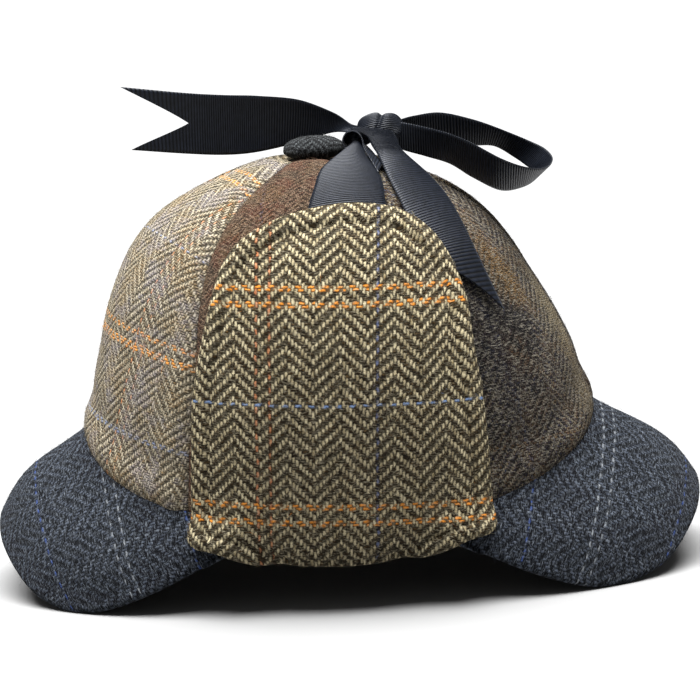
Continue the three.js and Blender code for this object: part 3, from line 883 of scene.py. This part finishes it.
@dataclass
class Peaks:
    """The two stiffened peaks, which the hat stands on."""

    shape: CrownShape
    edge: tuple[PeakRow, ...] = (
        PeakRow(0, 43, 30.5),
        PeakRow(12, 42.3, 21.5),
        PeakRow(23, 37.4, 7.2),
        PeakRow(30, 32, 1.4),
        PeakRow(35, 28, 0),
        PeakRow(41, 23.6, 2),
        PeakRow(51, 16.2, 10),
        PeakRow(61, 8, 20.5),
        PeakRow(67, 3, 27),
    )
    wall: float = 3.6
    bulge: float = 5.0
    full_chord: float = 58.0
    skew: float = 1.4
    tuck: float = 1.2
    along: int = 200
    across: int = 46
    front_reach: float = 5.0
    cut_apart: float = 18.0

    def point(self, degrees: np.ndarray, t: np.ndarray) -> np.ndarray:
        """A point of a peak's upper side: angle along the rim, and share of the way to the free edge."""
        angle = np.radians(degrees)
        along = self.shape.along_at(self.shape.rim(angle) + self.tuck)
        root = self.shape.point(angle, along) - self.shape.normal(angle, along) * 1.4
        rim = self.shape.rows[2]
        out = unit(np.stack([np.cos(angle) / rim.length, np.sin(angle) / rim.width, 0 * angle], axis=-1))
        table = np.array(self.edge, float)
        reach = spline_over(table[:, 0], table[:, 1], np.abs(degrees))
        height = np.maximum(spline_over(table[:, 0], table[:, 2], np.abs(degrees)), 0)
        drop = root[..., 2] - height
        chord = np.hypot(reach, drop)
        raised = np.stack([out[..., 0] * drop, out[..., 1] * drop, reach], axis=-1) / chord[..., None]
        held = np.clip(t, 0, 1)
        bulge = self.bulge * chord / self.full_chord * np.sin(math.pi * held**self.skew)
        point = root + out * (reach * t)[..., None] + raised * bulge[..., None]
        point[..., 2] -= drop * t
        return point

    def peak(self, name: str, side: int) -> bpy.types.Object:
        """Makes one peak.

        Args:
            name: the piece's name.
            side: 1 at the front, -1 at the rear.

        Returns:
            The peak's object.
        """
        last = self.edge[-1].angle
        t, degrees = np.meshgrid(
            np.linspace(0, 1, self.across + 1) ** 0.85, np.linspace(-last, last, self.along + 1), indexing="ij"
        )
        surface = self.point(degrees, t)
        rows = np.linalg.norm(np.diff(surface, axis=0), axis=-1)
        down = np.vstack([np.zeros((1, rows.shape[1])), np.cumsum(rows, axis=0)])
        columns = np.linalg.norm(np.diff(surface, axis=1), axis=-1)
        across = np.hstack([np.zeros((columns.shape[0], 1)), np.cumsum(columns, axis=1)])
        across = across - across[:, [self.along // 2]]
        to_edge = np.minimum(down[-1] - down, np.minimum(across - across[:, [0]], across[:, [-1]] - across) + 1.2)
        normal = grid_normals(surface)
        normal *= np.sign(normal[..., 2:3])
        thick = self.wall * (0.08 + 0.92 * rounded(to_edge, 0.5 * self.wall))
        slack = 0.35 * ripple(surface, 26.0, 11.0 + side) + 0.16 * ripple(surface, 9.0, 4.0 + side)
        slack = slack * np.clip(down / 6, 0, 1)
        welt = 0.25 * np.exp(-((to_edge - 3.0) / 1.8) ** 2)
        middle = surface - normal * (0.5 * self.wall)
        front = middle + normal * (0.5 * thick + (slack + welt) * np.clip(to_edge / 3, 0, 1))[..., None]
        back = middle - normal * (0.5 * thick)[..., None]
        for grid in (front, back):
            if side > 0:
                grid[..., 0] += self.front_reach * smoothstep((grid[..., 0] - 95) / 60)
            grid[..., 0] *= side
            grid[..., 2] = np.maximum(grid[..., 2], 0)
        out = unit((surface[-1] - surface[0])[:, :2])
        flat = surface[0, :, :2] + out * down[..., None] - [self.cut_apart if side > 0 else 0, 0]
        return wall_object(name, front, back, flat[..., ::-1])

    def build(self) -> list[bpy.types.Object]:
        """Makes and dresses both peaks."""
        material = NAVY_TWEED.build()
        made = []
        for name, node, side in (("peak_front", "front_peak", 1), ("peak_rear", "rear_peak", -1)):
            piece = self.peak(name, side)
            piece.data.materials.append(material)
            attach(piece, "root")
            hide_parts(node)
            made.append(piece)
        return made


# ---------------------------------------------------------- the ear flaps


class FlapRow(NamedTuple):
    """A level of the flap's outline: height on the crown, middle and half width."""

    z: float
    middle: float
    half: float


@dataclass
class EarFlaps:
    """The two padded ear flaps, turned up over the crown's sides, each lower edge rolled round the rim."""

    shape: CrownShape
    outline: tuple[FlapRow, ...] = (
        FlapRow(37, 0.6, 61),
        FlapRow(50, 1, 60.7),
        FlapRow(67, 1.3, 59.9),
        FlapRow(88, 1.4, 58.4),
        FlapRow(107, 1.9, 55.3),
        FlapRow(124.2, 3.2, 52.2),
        FlapRow(135, 3.4, 49),
        FlapRow(145, 3.2, 44.7),
        FlapRow(153, 3.7, 38.4),
        FlapRow(159.5, 5.3, 28.4),
        FlapRow(163.5, 7.3, 15.5),
    )
    top: tuple[float, float] = (8.0, 165.0)
    centre: tuple[float, float] = (2.0, 95.0)
    gap: float = 3.0
    wall: float = 4.4
    below: float = 12.5
    hinge: float = 2.3
    crown_wall: float = 2.6
    corner_lift: float = 4.8
    corner_heights: tuple[float, float] = (32.0, 46.0)
    corner_reach: tuple[float, float] = (34.0, 46.0)
    bend: tuple[float, float] = (24.0, 39.0)
    round_: int = 270
    rings: int = 60

    def hinge_height(self, x: np.ndarray) -> np.ndarray:
        """The height from which the flap bends round the rim."""
        low = self.shape.along_at(np.full_like(x, self.shape.rows[1].z))
        return self.shape.rim(self.shape.angle_at(x, low)) + self.hinge

    def place(self, x: np.ndarray, height: np.ndarray, lift: np.ndarray) -> np.ndarray:
        """A point of the flap, lifted off its middle layer.

        Args:
            x: place along the hat.
            height: the height that the point has before the flap bends.
            lift: distance out from the middle layer.

        Returns:
            Points in millimetres.
        """
        hinge = self.hinge_height(x)
        along = self.shape.along_at(np.maximum(height, hinge))
        angle = self.shape.angle_at(x, along)
        normal = self.shape.normal(angle, along)
        low, high = self.corner_heights
        inner, outer = self.corner_reach
        over_peak = smoothstep((high - height) / (high - low)) * smoothstep((np.abs(x) - inner) / (outer - inner))
        base = self.gap + 0.5 * self.wall
        out = base + lift + self.corner_lift * over_peak
        point = self.shape.point(angle, along) + normal * out[..., None]
        below = np.maximum(hinge - height, 0)
        full, none = self.bend
        turn = np.maximum(1 - smoothstep((np.abs(x) - full) / (none - full)), 1e-3)
        radius = (base + 0.5 * self.crown_wall) / turn
        bend = below / radius
        down = unit(np.array([0.0, 0.0, -1.0]) + normal * normal[..., 2:3])
        point = point + down * ((radius + lift) * np.sin(bend))[..., None]
        return point - normal * ((radius + lift) * (1 - np.cos(bend)))[..., None]

    def border(self) -> np.ndarray:
        """The flap's outline once round, as x and height, in even steps."""
        rows = np.array(self.outline, float)
        right = np.stack([rows[:, 1] + rows[:, 2], rows[:, 0]], axis=-1)
        left = np.stack([rows[:, 1] - rows[:, 2], rows[:, 0]], axis=-1)
        arch = np.vstack([right, [self.top], left[::-1]])
        arch = spline(arch, np.linspace(0, 1, 1200))
        x = np.linspace(left[0, 0], right[0, 0], 400)
        edge = np.minimum(x - x[0], x[-1] - x)
        corner = 4.5
        lifted = corner * (1 - rounded(edge, corner))
        base = np.stack([x, self.hinge_height(x) - self.below + lifted], axis=-1)
        ring = np.vstack([arch, base])
        steps = np.concatenate([[0], np.cumsum(np.linalg.norm(np.diff(ring, axis=0), axis=-1))])
        even = np.linspace(0, steps[-1], self.round_, endpoint=False)
        return np.stack([np.interp(even, steps, ring[:, k]) for k in (0, 1)], axis=-1)

    def flap(self, name: str, side: int) -> bpy.types.Object:
        """Makes one flap.

        Args:
            name: the piece's name.
            side: 1 on the near side, -1 on the far side.

        Returns:
            The flap's object.
        """
        border = self.border()
        centre = np.array(self.centre)
        shares = 1 - (1 - np.linspace(0, 1, self.rings + 1)[1:]) ** 1.35
        flat = centre + (border - centre)[None] * shares[:, None, None]
        spans = np.linalg.norm(border - centre, axis=-1)
        towards = unit(np.roll(border, -1, axis=0) - np.roll(border, 1, axis=0))
        square = np.abs(towards[:, 0] * (border - centre)[:, 1] - towards[:, 1] * (border - centre)[:, 0]) / spans
        inside = (1 - shares)[:, None] * (spans * square)[None]
        x, height = flat[..., 0], flat[..., 1]
        plain = self.place(x, height, 0 * x)
        puff = 0.9 * smoothstep(inside / 26.0) + 0.30 * ripple(plain, 28.0, 7.0 * side)
        allowance = 0.8 * (1 - smoothstep((inside - 6.0) / 1.4)) - 1.3 * np.exp(-((inside - 7.4) / 1.0) ** 2)
        slack = 0.14 * ripple(plain, 9.0, 2.0 * side)
        thick = 0.5 * self.wall * rounded(inside, 2.3)
        outer = self.place(x, height, thick + (puff + allowance + slack) * np.clip(inside / 3, 0, 1))
        inner = self.place(x, height, -thick)
        across = self.cloth_across(plain, x)
        up = self.shape.meridian(self.shape.along_at(np.maximum(height, 16))) - np.maximum(16 - height, 0)
        uvs = np.stack([across, up], axis=-1)

        points = [outer[:-1].reshape(-1, 3), inner[:-1].reshape(-1, 3), outer[-1]]
        uv = [uvs[:-1].reshape(-1, 2), uvs[:-1].reshape(-1, 2), uvs[-1]]
        count, rings = self.round_, self.rings - 1
        heart = np.array([[self.centre[0]], [self.centre[1]]])
        for lift in (0.5 * self.wall + 0.5, -0.5 * self.wall):
            points.append(self.place(heart[0], heart[1], np.array([lift])))
            uv.append(np.array([[self.centre[0], float(self.shape.meridian(self.shape.along_at(self.centre[1])))]]))
        stack, maps = np.vstack(points), np.vstack(uv)
        stack[:, 1] *= side
        last = 2 * rings * count
        faces = []
        for face in (0, 1):
            start = face * rings * count
            faces += grid_quads(rings, count, start, closed=True)
            inner_ring = start + (rings - 1) * count
            for m in range(count):
                k = (m + 1) % count
                faces.append((inner_ring + m, inner_ring + k, last + k, last + m))
                faces.append((last + count + face, start + k, start + m))
        return make_object(name, stack, faces, maps)

    def cloth_across(self, points: np.ndarray, x: np.ndarray) -> np.ndarray:
        """Distance across the flat cloth, which is longer than x where the flap curves round the side."""
        level = self.shape.along_at(np.full(401, self.centre[1]))
        along_x = np.linspace(-66, 66, 401)
        sides = self.shape.point(self.shape.angle_at(along_x, level), level)
        lengths = np.concatenate([[0], np.cumsum(np.linalg.norm(np.diff(sides, axis=0), axis=-1))])
        lengths -= np.interp(0.0, along_x, lengths)
        return np.interp(x, along_x, lengths)

    def build(self) -> list[bpy.types.Object]:
        """Makes and dresses both flaps."""
        material = FLAP_TWEED.build()
        made = []
        for name, node, side in (("flap_near", "ear_flap_near", 1), ("flap_far", "ear_flap_far", -1)):
            piece = self.flap(name, side)
            piece.data.materials.append(material)
            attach(piece, "root")
            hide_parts(node)
            made.append(piece)
        return made


# ------------------------------------------------------------- the button


@dataclass
class CrownButton:
    """The button on top: a metal shell covered in tweed, its edge tucked under."""

    lean: float = -4.3
    radius: float = 13.6
    middle: float = 187.2
    up: float = 6.0
    down: float = 4.6

    def build(self) -> bpy.types.Object:
        """Makes the button from a round primitive, its vertices moved into shape."""
        deselect_all()
        bpy.ops.mesh.primitive_uv_sphere_add(
            segments=96, ring_count=48, radius=self.radius * MM, location=(self.lean * MM, 0, self.middle * MM)
        )
        piece = bpy.context.object
        piece.name = "button"
        bpy.ops.object.transform_apply(location=True, rotation=True, scale=True)
        mesh = piece.data
        for vertex in mesh.vertices:
            x, y, z = (vertex.co / MM) - Vector((self.lean, 0, self.middle))
            reach = math.hypot(x, y) / self.radius
            level = z / self.radius
            height = (self.up if level > 0 else self.down) * math.copysign(abs(level) ** 0.85, level)
            dimple = 0.5 * noise.noise(Vector((x, y, z)) / 6.0) * reach
            gather = 0.22 * math.sin(14 * math.atan2(y, x)) * smoothstep(np.array((reach - 0.8) / 0.2)) * (level < 0)
            grown = 1 + (dimple * 0.4 + float(gather)) / self.radius
            vertex.co = Vector((self.lean + x * grown, y * grown, self.middle + height + 0.3 * dimple)) * MM
        layer = mesh.uv_layers.active
        layer.name = CLOTH_UV
        for loop in mesh.loops:
            x, y, z = mesh.vertices[loop.vertex_index].co / MM
            flare = 1 + 0.5 * max(0.0, (self.middle + 3 - z) / 8)
            layer.data[loop.index].uv = ((x - self.lean) * flare, y * flare)
        bpy.ops.object.shade_smooth()
        mesh.materials.append(CHARCOAL_TWEED.build())
        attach(piece, "root")
        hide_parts("crown_button")
        return piece


# ------------------------------------------------------------ the ribbons


class RibbonRow(NamedTuple):
    """A section of a ribbon: its two edges, and how far its middle bows out."""

    ax: float
    ay: float
    az: float
    bx: float
    by: float
    bz: float
    bow: float


@dataclass
class Ribbon:
    """One length of grosgrain, with its ribs in the mesh."""

    name: str
    node: str
    rows: tuple[RibbonRow, ...]
    rests_on: tuple[str, ...]
    side: int = 1
    notch: float = 0.0
    slant: float = 0.0
    wall: float = 0.62
    rib_pitch: float = 1.0
    rib_height: float = 0.1
    rib_steps: int = 4
    across: int = 18
    width: float = 27.0

    def edges(self, v: np.ndarray, u: np.ndarray) -> np.ndarray:
        """A point between the ribbon's two edges."""
        rows = np.array(self.rows, float)
        values = spline(rows, v)
        a, b = values[..., 0:3].copy(), values[..., 3:6].copy()
        a[..., 1] *= self.side
        b[..., 1] *= self.side
        return a + (b - a) * u[..., None]

    def mean_width(self) -> float:
        """Mean distance between the ribbon's edges, in millimetres."""
        v = np.linspace(0, 1, 200)
        return float(np.linalg.norm(self.edges(v, 0 * v) - self.edges(v, 0 * v + 1), axis=-1).mean())

    def length(self) -> float:
        """Length of the ribbon down its middle, in millimetres."""
        v = np.linspace(0, 1, 400)
        middle = self.edges(v, np.full_like(v, 0.5))
        return float(np.linalg.norm(np.diff(middle, axis=0), axis=-1).sum())

    def make(self) -> bpy.types.Object:
        """Makes the ribbon's mesh.

        Returns:
            The ribbon's object, with its map across and along the ribbon.
        """
        length = self.length()
        count = int(length / self.rib_pitch * self.rib_steps)
        share, u = np.meshgrid(np.linspace(0, 1, count + 1), np.linspace(0, 1, self.across + 1), indexing="ij")
        v = share * (1 - self.notch * (1 - np.abs(2 * u - 1)) - self.slant * u)
        surface = self.edges(v, u)
        normal = grid_normals(surface) * self.side
        bow = spline(np.array(self.rows, float), v)[..., 6]
        side_wave = 0.25 * ripple(surface, 16.0, 5.0)
        middle = surface + normal * (bow * (1 - (2 * u - 1) ** 2) + side_wave)[..., None]
        normal = grid_normals(middle) * self.side
        along = v * length
        rib = self.rib_height * np.abs(np.sin(math.pi * along / self.rib_pitch)) ** 0.7
        from_edge = np.minimum(u, 1 - u) * self.width
        thick = 0.5 * self.wall * (0.35 + 0.65 * rounded(from_edge, 0.5)) + rib * np.clip(from_edge / 0.5, 0.3, 1)
        front = middle + normal * thick[..., None]
        back = middle - normal * thick[..., None]
        uvs = np.stack([u * self.width, along], axis=-1)
        return wall_object(self.name, front, back, uvs)


TIE_ROWS = (
    RibbonRow(-9, -67, 158, 27.5, -61, 158, 2),
    RibbonRow(-6.6, -59.2, 168, 26, -53, 168, 2.2),
    RibbonRow(-4, -49, 175, 25.4, -43, 174, 2.2),
    RibbonRow(-0.7, -36, 181.8, 23.6, -33, 178.6, 2),
    RibbonRow(7.9, -22, 187.3, 19.5, -22, 183.6, 1.6),
    RibbonRow(12.4, -13.6, 189.8, 16.8, -13.6, 188.4, 1),
    RibbonRow(12.6, -9.5, 191.6, 16, -9.5, 190.8, 0.4),
)
TAIL_LONG_ROWS = (
    RibbonRow(29.5, -6.5, 194.4, 12.2, -7, 196.2, 0.6),
    RibbonRow(31, -10, 193.4, 13.6, -10.2, 195.6, 1),
    RibbonRow(32.6, -12, 190.6, 19.2, -12.6, 192.6, 1.6),
    RibbonRow(33.6, -13.4, 187.2, 21.4, -15.4, 188.4, 1.8),
    RibbonRow(37, -15, 183.2, 23.8, -20.4, 184.6, 1.6),
    RibbonRow(46, -20.8, 174.8, 28, -37.4, 176.2, 1.6),
    RibbonRow(53, -33.2, 166.6, 33, -51.7, 165.6, 1.6),
    RibbonRow(58.5, -44.5, 156.4, 38, -61.6, 153.8, 1.4),
    RibbonRow(64, -52.4, 143.6, 43.5, -67, 142.2, 1.3),
    RibbonRow(74, -57.8, 119.8, 58.6, -69.6, 120.4, 1.3),
)
TAIL_SWALLOW_ROWS = (
    RibbonRow(17, -3, 196.4, 16, -5, 194.6, 0.3),
    RibbonRow(12.6, -2, 197.6, 11, -4, 194.2, 0.6),
    RibbonRow(5, 3, 202.6, 3.5, 6, 193.4, 1.4),
    RibbonRow(-10, 8, 208.6, -12, 14.5, 189, 1.6),
    RibbonRow(-28, 10, 211.2, -29.5, 14, 186, 2),
    RibbonRow(-43, 10, 212.4, -44, 13, 185.5, 1.5),
    RibbonRow(-60, 8, 214.4, -61, 10, 187.2, 1),
    RibbonRow(-88.4, 4, 218.9, -85.6, 6, 190.6, 0.5),
)
CURL_ROWS = (
    RibbonRow(10.2, -14.2, 187.4, 10.6, -4, 187.8, 0),
    RibbonRow(8.8, -14.2, 190.2, 9.4, -3, 190.2, 0),
    RibbonRow(9.5, -14.2, 193.3, 10, -3, 193, 0),
    RibbonRow(11.5, -14, 194.9, 11.8, -3, 194.6, 0),
    RibbonRow(14.2, -14, 195, 14, -3, 195, 0),
    RibbonRow(16.3, -14, 193.4, 16, -3, 193.6, 0),
    RibbonRow(17.3, -14.2, 191, 17, -3, 191, 0),
    RibbonRow(17.8, -16, 188, 18.5, -5, 188.4, 0),
    RibbonRow(20, -23, 184.4, 21.5, -12, 185.8, 0),
    RibbonRow(23.4, -34, 178.8, 25.5, -24, 181.4, 0),
)
LOOP_ROWS = (
    RibbonRow(27, -3, 197, 27, -2, 190, 0),
    RibbonRow(34, -5.5, 197.5, 33.6, -4.5, 185.6, 0.2),
    RibbonRow(45, -10, 195.1, 44.4, -2, 181.6, 0.6),
    RibbonRow(55.6, -15, 191.9, 55.4, 2, 177.2, 1),
    RibbonRow(64.8, -18.5, 187.8, 65, 3, 170.6, 1.2),
    RibbonRow(76.6, -20, 180.7, 77, 3.6, 164.2, 1),
    RibbonRow(88, -16.5, 175.8, 86.9, 5, 164.8, 0.4),
    RibbonRow(97, -8, 174.4, 92.6, 7.6, 167.6, 0.2),
    RibbonRow(100.8, 2, 176.9, 93.6, 11, 170.6, 0.2),
    RibbonRow(98.4, 12, 180.6, 90, 14, 173, 0.2),
    RibbonRow(91, 14.5, 184.6, 84.6, 18.5, 177, 0),
    RibbonRow(78.9, 13, 190.4, 76, 20, 182.2, -0.4),
    RibbonRow(66.5, 11.5, 195.6, 66, 18.5, 183.4, -0.6),
    RibbonRow(52.3, 8, 199.6, 52, 13.5, 186.6, -0.4),
    RibbonRow(41, 3.5, 199.2, 40.5, 7.5, 190, 0),
    RibbonRow(34, 0.5, 198, 33.4, 2.5, 191.6, 0),
    RibbonRow(27, 0, 196, 27, 0, 192, 0),
)


@dataclass
class HalfBow:
    """The black ribbon: a tie from each flap, the knot, one loop and two tails."""

    knot_middle: tuple[float, float, float] = (25.4, -2.5, 195.0)
    knot_half: tuple[float, float, float] = (10.2, 7.6, 7.0)
    under_middle: tuple[float, float, float] = (15.6, -3.5, 191.4)
    under_half: tuple[float, float, float] = (6.4, 6.0, 3.6)

    def ribbons(self) -> list[Ribbon]:
        """The lengths of ribbon that show."""
        return [
            Ribbon("ribbon_tie_near", "tie_near", TIE_ROWS, ("panel_5", "bow_knot")),
            Ribbon("ribbon_tie_far", "tie_far", TIE_ROWS, ("panel_2", "bow_knot"), side=-1),
            Ribbon("ribbon_tail_long", "tail_long", TAIL_LONG_ROWS, ("panel_6", "bow_knot"), slant=0.13),
            Ribbon("ribbon_tail_swallow", "tail_swallow", TAIL_SWALLOW_ROWS, ("bow_knot",), notch=0.15),
            Ribbon("ribbon_curl", "bow_knot", CURL_ROWS, ("bow_knot",)),
            Ribbon("ribbon_loop", "bow_loop", LOOP_ROWS, ("bow_knot",)),
        ]

    def bundle(self, name: str, middle: tuple, half: tuple) -> bpy.types.Object:
        """Makes a bundle of ribbon wrapped round the x axis, its folds and ribs in the mesh.

        Args:
            name: the piece's name.
            middle: the bundle's middle in millimetres.
            half: half its length, depth and height.

        Returns:
            The bundle's object.
        """
        rows, columns = 90, 240
        t, turn = np.meshgrid(
            np.linspace(0.001, math.pi - 0.001, rows), np.linspace(0, 2 * math.pi, columns, endpoint=False), indexing="ij"
        )
        axis, ring = np.cos(t), np.sin(t)
        crease = np.exp(-(((axis + 0.15 - 0.25 * np.sin(turn)) / 0.10) ** 2))
        fold = 0.05 * np.sin(3 * turn + 3.5 * axis) + 0.03 * np.sin(7 * axis + 2 * turn) - 0.13 * crease
        body = np.abs(ring) ** 0.8 * (1 + fold)
        wrap = turn * (half[1] + half[2]) / 2
        rib = 0.1 * np.abs(np.sin(math.pi * (wrap + 1.2 * axis)))
        x = middle[0] + half[0] * axis
        y = middle[1] + (half[1] * body + rib) * np.cos(turn)
        z = middle[2] + (half[2] * body + rib) * np.sin(turn)
        points = np.stack([x, y, z], axis=-1)
        faces = grid_quads(rows, columns, closed=True)
        faces.append(tuple(range(columns)))
        faces.append(tuple(range((rows - 1) * columns, rows * columns)))
        uvs = np.stack([axis * half[0], wrap + 1.2 * axis], axis=-1)
        return make_object(name, points.reshape(-1, 3), faces, uvs.reshape(-1, 2))

    def build(self) -> list[bpy.types.Object]:
        """Makes and dresses the whole half bow."""
        material = RIBBON_BLACK.build()
        made = []
        for ribbon in self.ribbons():
            piece = ribbon.make()
            piece.data.materials.append(material)
            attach(piece, "root")
            if ribbon.node != "bow_knot":
                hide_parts(ribbon.node)
            flat = (ribbon.mean_width() * MM, ribbon.length() * MM)
            list(ribbon.rests_on)
            made.append(piece)
        knot = self.bundle("ribbon_knot", self.knot_middle, self.knot_half)
        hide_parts("bow_knot")
        under = self.bundle("ribbon_knot_under", self.under_middle, self.under_half)
        for piece in (knot, under):
            piece.data.materials.append(material)
            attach(piece, "root")
            made.append(piece)
        return made


# ---------------------------------------------------------------- the nap


@dataclass
class Nap:
    """Loose wool fibres that stand out of a tweed's face and soften its outline."""

    per_square_cm: float = 15.0
    most: int = 7200
    length: tuple[float, float] = (1.6, 4.6)
    radius: float = 0.05
    rise: tuple[float, float] = (0.15, 0.8)
    sides: int = 3
    steps: int = 2

    def grow(self, piece: bpy.types.Object, seed: int) -> bpy.types.Object:
        """Grows fibres on the outer side of a piece.

        Args:
            piece: the tweed piece, already placed.
            seed: makes each piece's fibres its own.

        Returns:
            The fibres, as one object of closed, thin, three-sided hairs.
        """
        chance = np.random.default_rng(seed)
        mesh = piece.data
        count = len(mesh.polygons)
        area, centre, normal = np.empty(count), np.empty(count * 3), np.empty(count * 3)
        mesh.polygons.foreach_get("area", area)
        mesh.polygons.foreach_get("center", centre)
        mesh.polygons.foreach_get("normal", normal)
        centre, normal = centre.reshape(-1, 3) / MM, normal.reshape(-1, 3)
        heart = np.array([0.0, 0.0, 60.0])
        outer = area * ((normal * (centre - heart)).sum(axis=1) > 0) * (centre[:, 2] > self.length[1])
        many = min(self.most, int(outer.sum() / 1e-4 * self.per_square_cm))
        chosen = chance.choice(count, many, p=outer / outer.sum())
        uvs = np.empty(len(mesh.loops) * 2)
        mesh.uv_layers[CLOTH_UV].data.foreach_get("uv", uvs)
        firsts = np.empty(count, np.int32)
        mesh.polygons.foreach_get("loop_start", firsts)
        cloth = uvs.reshape(-1, 2)[firsts[chosen]] + chance.normal(0, 1.6, (many, 2))

        up = normal[chosen]
        spot = centre[chosen] + np.cross(up, chance.normal(0, 0.5, (many, 3))) - 0.1 * up
        lie = unit(np.cross(up, chance.normal(0, 1, (many, 3))))
        side = np.cross(up, lie)
        long_ = chance.uniform(*self.length, (many, 1)) * chance.uniform(0.4, 1, (many, 1))
        tilt = chance.uniform(*self.rise, (many, 1)) ** 1.6
        curl = chance.normal(0, 0.35, (many, 1))
        rings = []
        for step in range(self.steps + 1):
            s = step / self.steps
            path = spot + long_ * (lie * s + up * tilt * (s - 0.35 * s * s) + side * curl * s * s)
            for k in range(self.sides):
                turn = 2 * math.pi * k / self.sides
                rings.append(path + self.radius * (1 - 0.55 * s) * (math.cos(turn) * side + math.sin(turn) * up))
        points = np.stack(rings, axis=1)
        base = np.arange(many)[:, None] * (self.sides * (self.steps + 1))
        pattern = grid_quads(self.steps + 1, self.sides, closed=True)
        quads = (base[:, :, None] + np.array(pattern)[None]).reshape(-1, 4).tolist()
        low = (base + np.arange(self.sides)).tolist()
        high = (base + self.sides * self.steps + np.arange(self.sides)).tolist()
        faces = quads + low + high
        maps = np.repeat(cloth, self.sides * (self.steps + 1), axis=0)
        hairs = make_object("nap_" + piece.name, points.reshape(-1, 3), faces, maps)
        hairs.data.materials.append(piece.data.materials[0])
        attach(hairs, "root")
        return hairs


# ------------------------------------------------------------- the studio


@dataclass
class Studio:
    """A pale seamless floor, soft lights and the camera."""

    aim: tuple[float, float, float] = (6.6, 0.0, 96.5)
    azimuth: float = 1.0
    elevation: float = 9.5
    roll: float = 3.2
    distance: float = 1200.0
    field_width: float = 312.9
    sensor: float = 36.0

    def camera(self) -> bpy.types.Object:
        """Puts the camera at the hat's near side, a little above it."""
        a, e = math.radians(self.azimuth), math.radians(self.elevation)
        away = Vector((math.sin(a) * math.cos(e), -math.cos(a) * math.cos(e), math.sin(e)))
        data = bpy.data.cameras.new("camera")
        data.sensor_width = self.sensor
        data.lens = self.sensor * self.distance / self.field_width
        data.clip_end = 50
        camera = bpy.data.objects.new("camera", data)
        look = (-away).to_track_quat("-Z", "Y").to_matrix().to_4x4()
        roll = Matrix.Rotation(math.radians(-self.roll), 4, "Z")
        place = Matrix.Translation((Vector(self.aim) + away * self.distance) * MM)
        camera.matrix_world = place @ look @ roll
        bpy.context.scene.collection.objects.link(camera)
        bpy.context.scene.camera = camera
        return camera

    def floor(self) -> bpy.types.Object:
        """Makes the floor from a plane that runs to the horizon."""
        deselect_all()
        bpy.ops.mesh.primitive_plane_add(size=60, location=(0, 0, 0))
        floor = bpy.context.object
        floor.name = "floor"
        floor.data.materials.append(BACKDROP.build())
        return floor

    def light(self, name: str, from_: tuple[float, float, float], spread: float, strength: float) -> None:
        """Adds one far, wide lamp, like a large overhead softbox.

        Args:
            name: the lamp's name.
            from_: direction that the light comes from.
            spread: the softbox's width as seen from the hat, in degrees.
            strength: light on a surface that faces it, in watts per square metre.
        """
        data = bpy.data.lights.new(name, "SUN")
        data.angle, data.energy = math.radians(spread), strength
        lamp = bpy.data.objects.new(name, data)
        lamp.rotation_euler = Vector(from_).to_track_quat("Z", "Y").to_euler()
        bpy.context.scene.collection.objects.link(lamp)

    def build(self) -> None:
        """Makes the floor, camera, lights and the room's even light."""
        self.camera()
        self.floor()
        self.light("key", (-0.05, -0.03, 1.0), 55.0, 14.5)
        world = bpy.data.worlds.new("room")
        world.use_nodes = True
        room = world.node_tree.nodes["Background"]
        room.inputs["Color"].default_value = linear("ffffff")
        room.inputs["Strength"].default_value = 0.22
        bpy.context.scene.world = world
        bpy.context.scene.view_settings.view_transform = "Standard"


def main() -> None:
    """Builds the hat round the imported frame, piece by piece."""
    logging.basicConfig(level=logging.INFO, format="%(name)s: %(message)s", stream=sys.stdout)
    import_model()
    shape = CrownShape()
    Studio().build()
    made: list[bpy.types.Object] = []
    made += Crown(shape).build()
    made += Peaks(shape).build()
    made += EarFlaps(shape).build()
    made.append(CrownButton().build())
    made += HalfBow().build()
    nap = Nap()
    tweeds = [piece for piece in made if not piece.name.startswith("ribbon")]
    made += [nap.grow(piece, seed) for seed, piece in enumerate(tweeds)]
    for piece in made:
        log.info("%s: %d triangles", piece.name, sum(len(face.vertices) - 2 for face in piece.data.polygons))


if __name__ == "__main__":
    main()
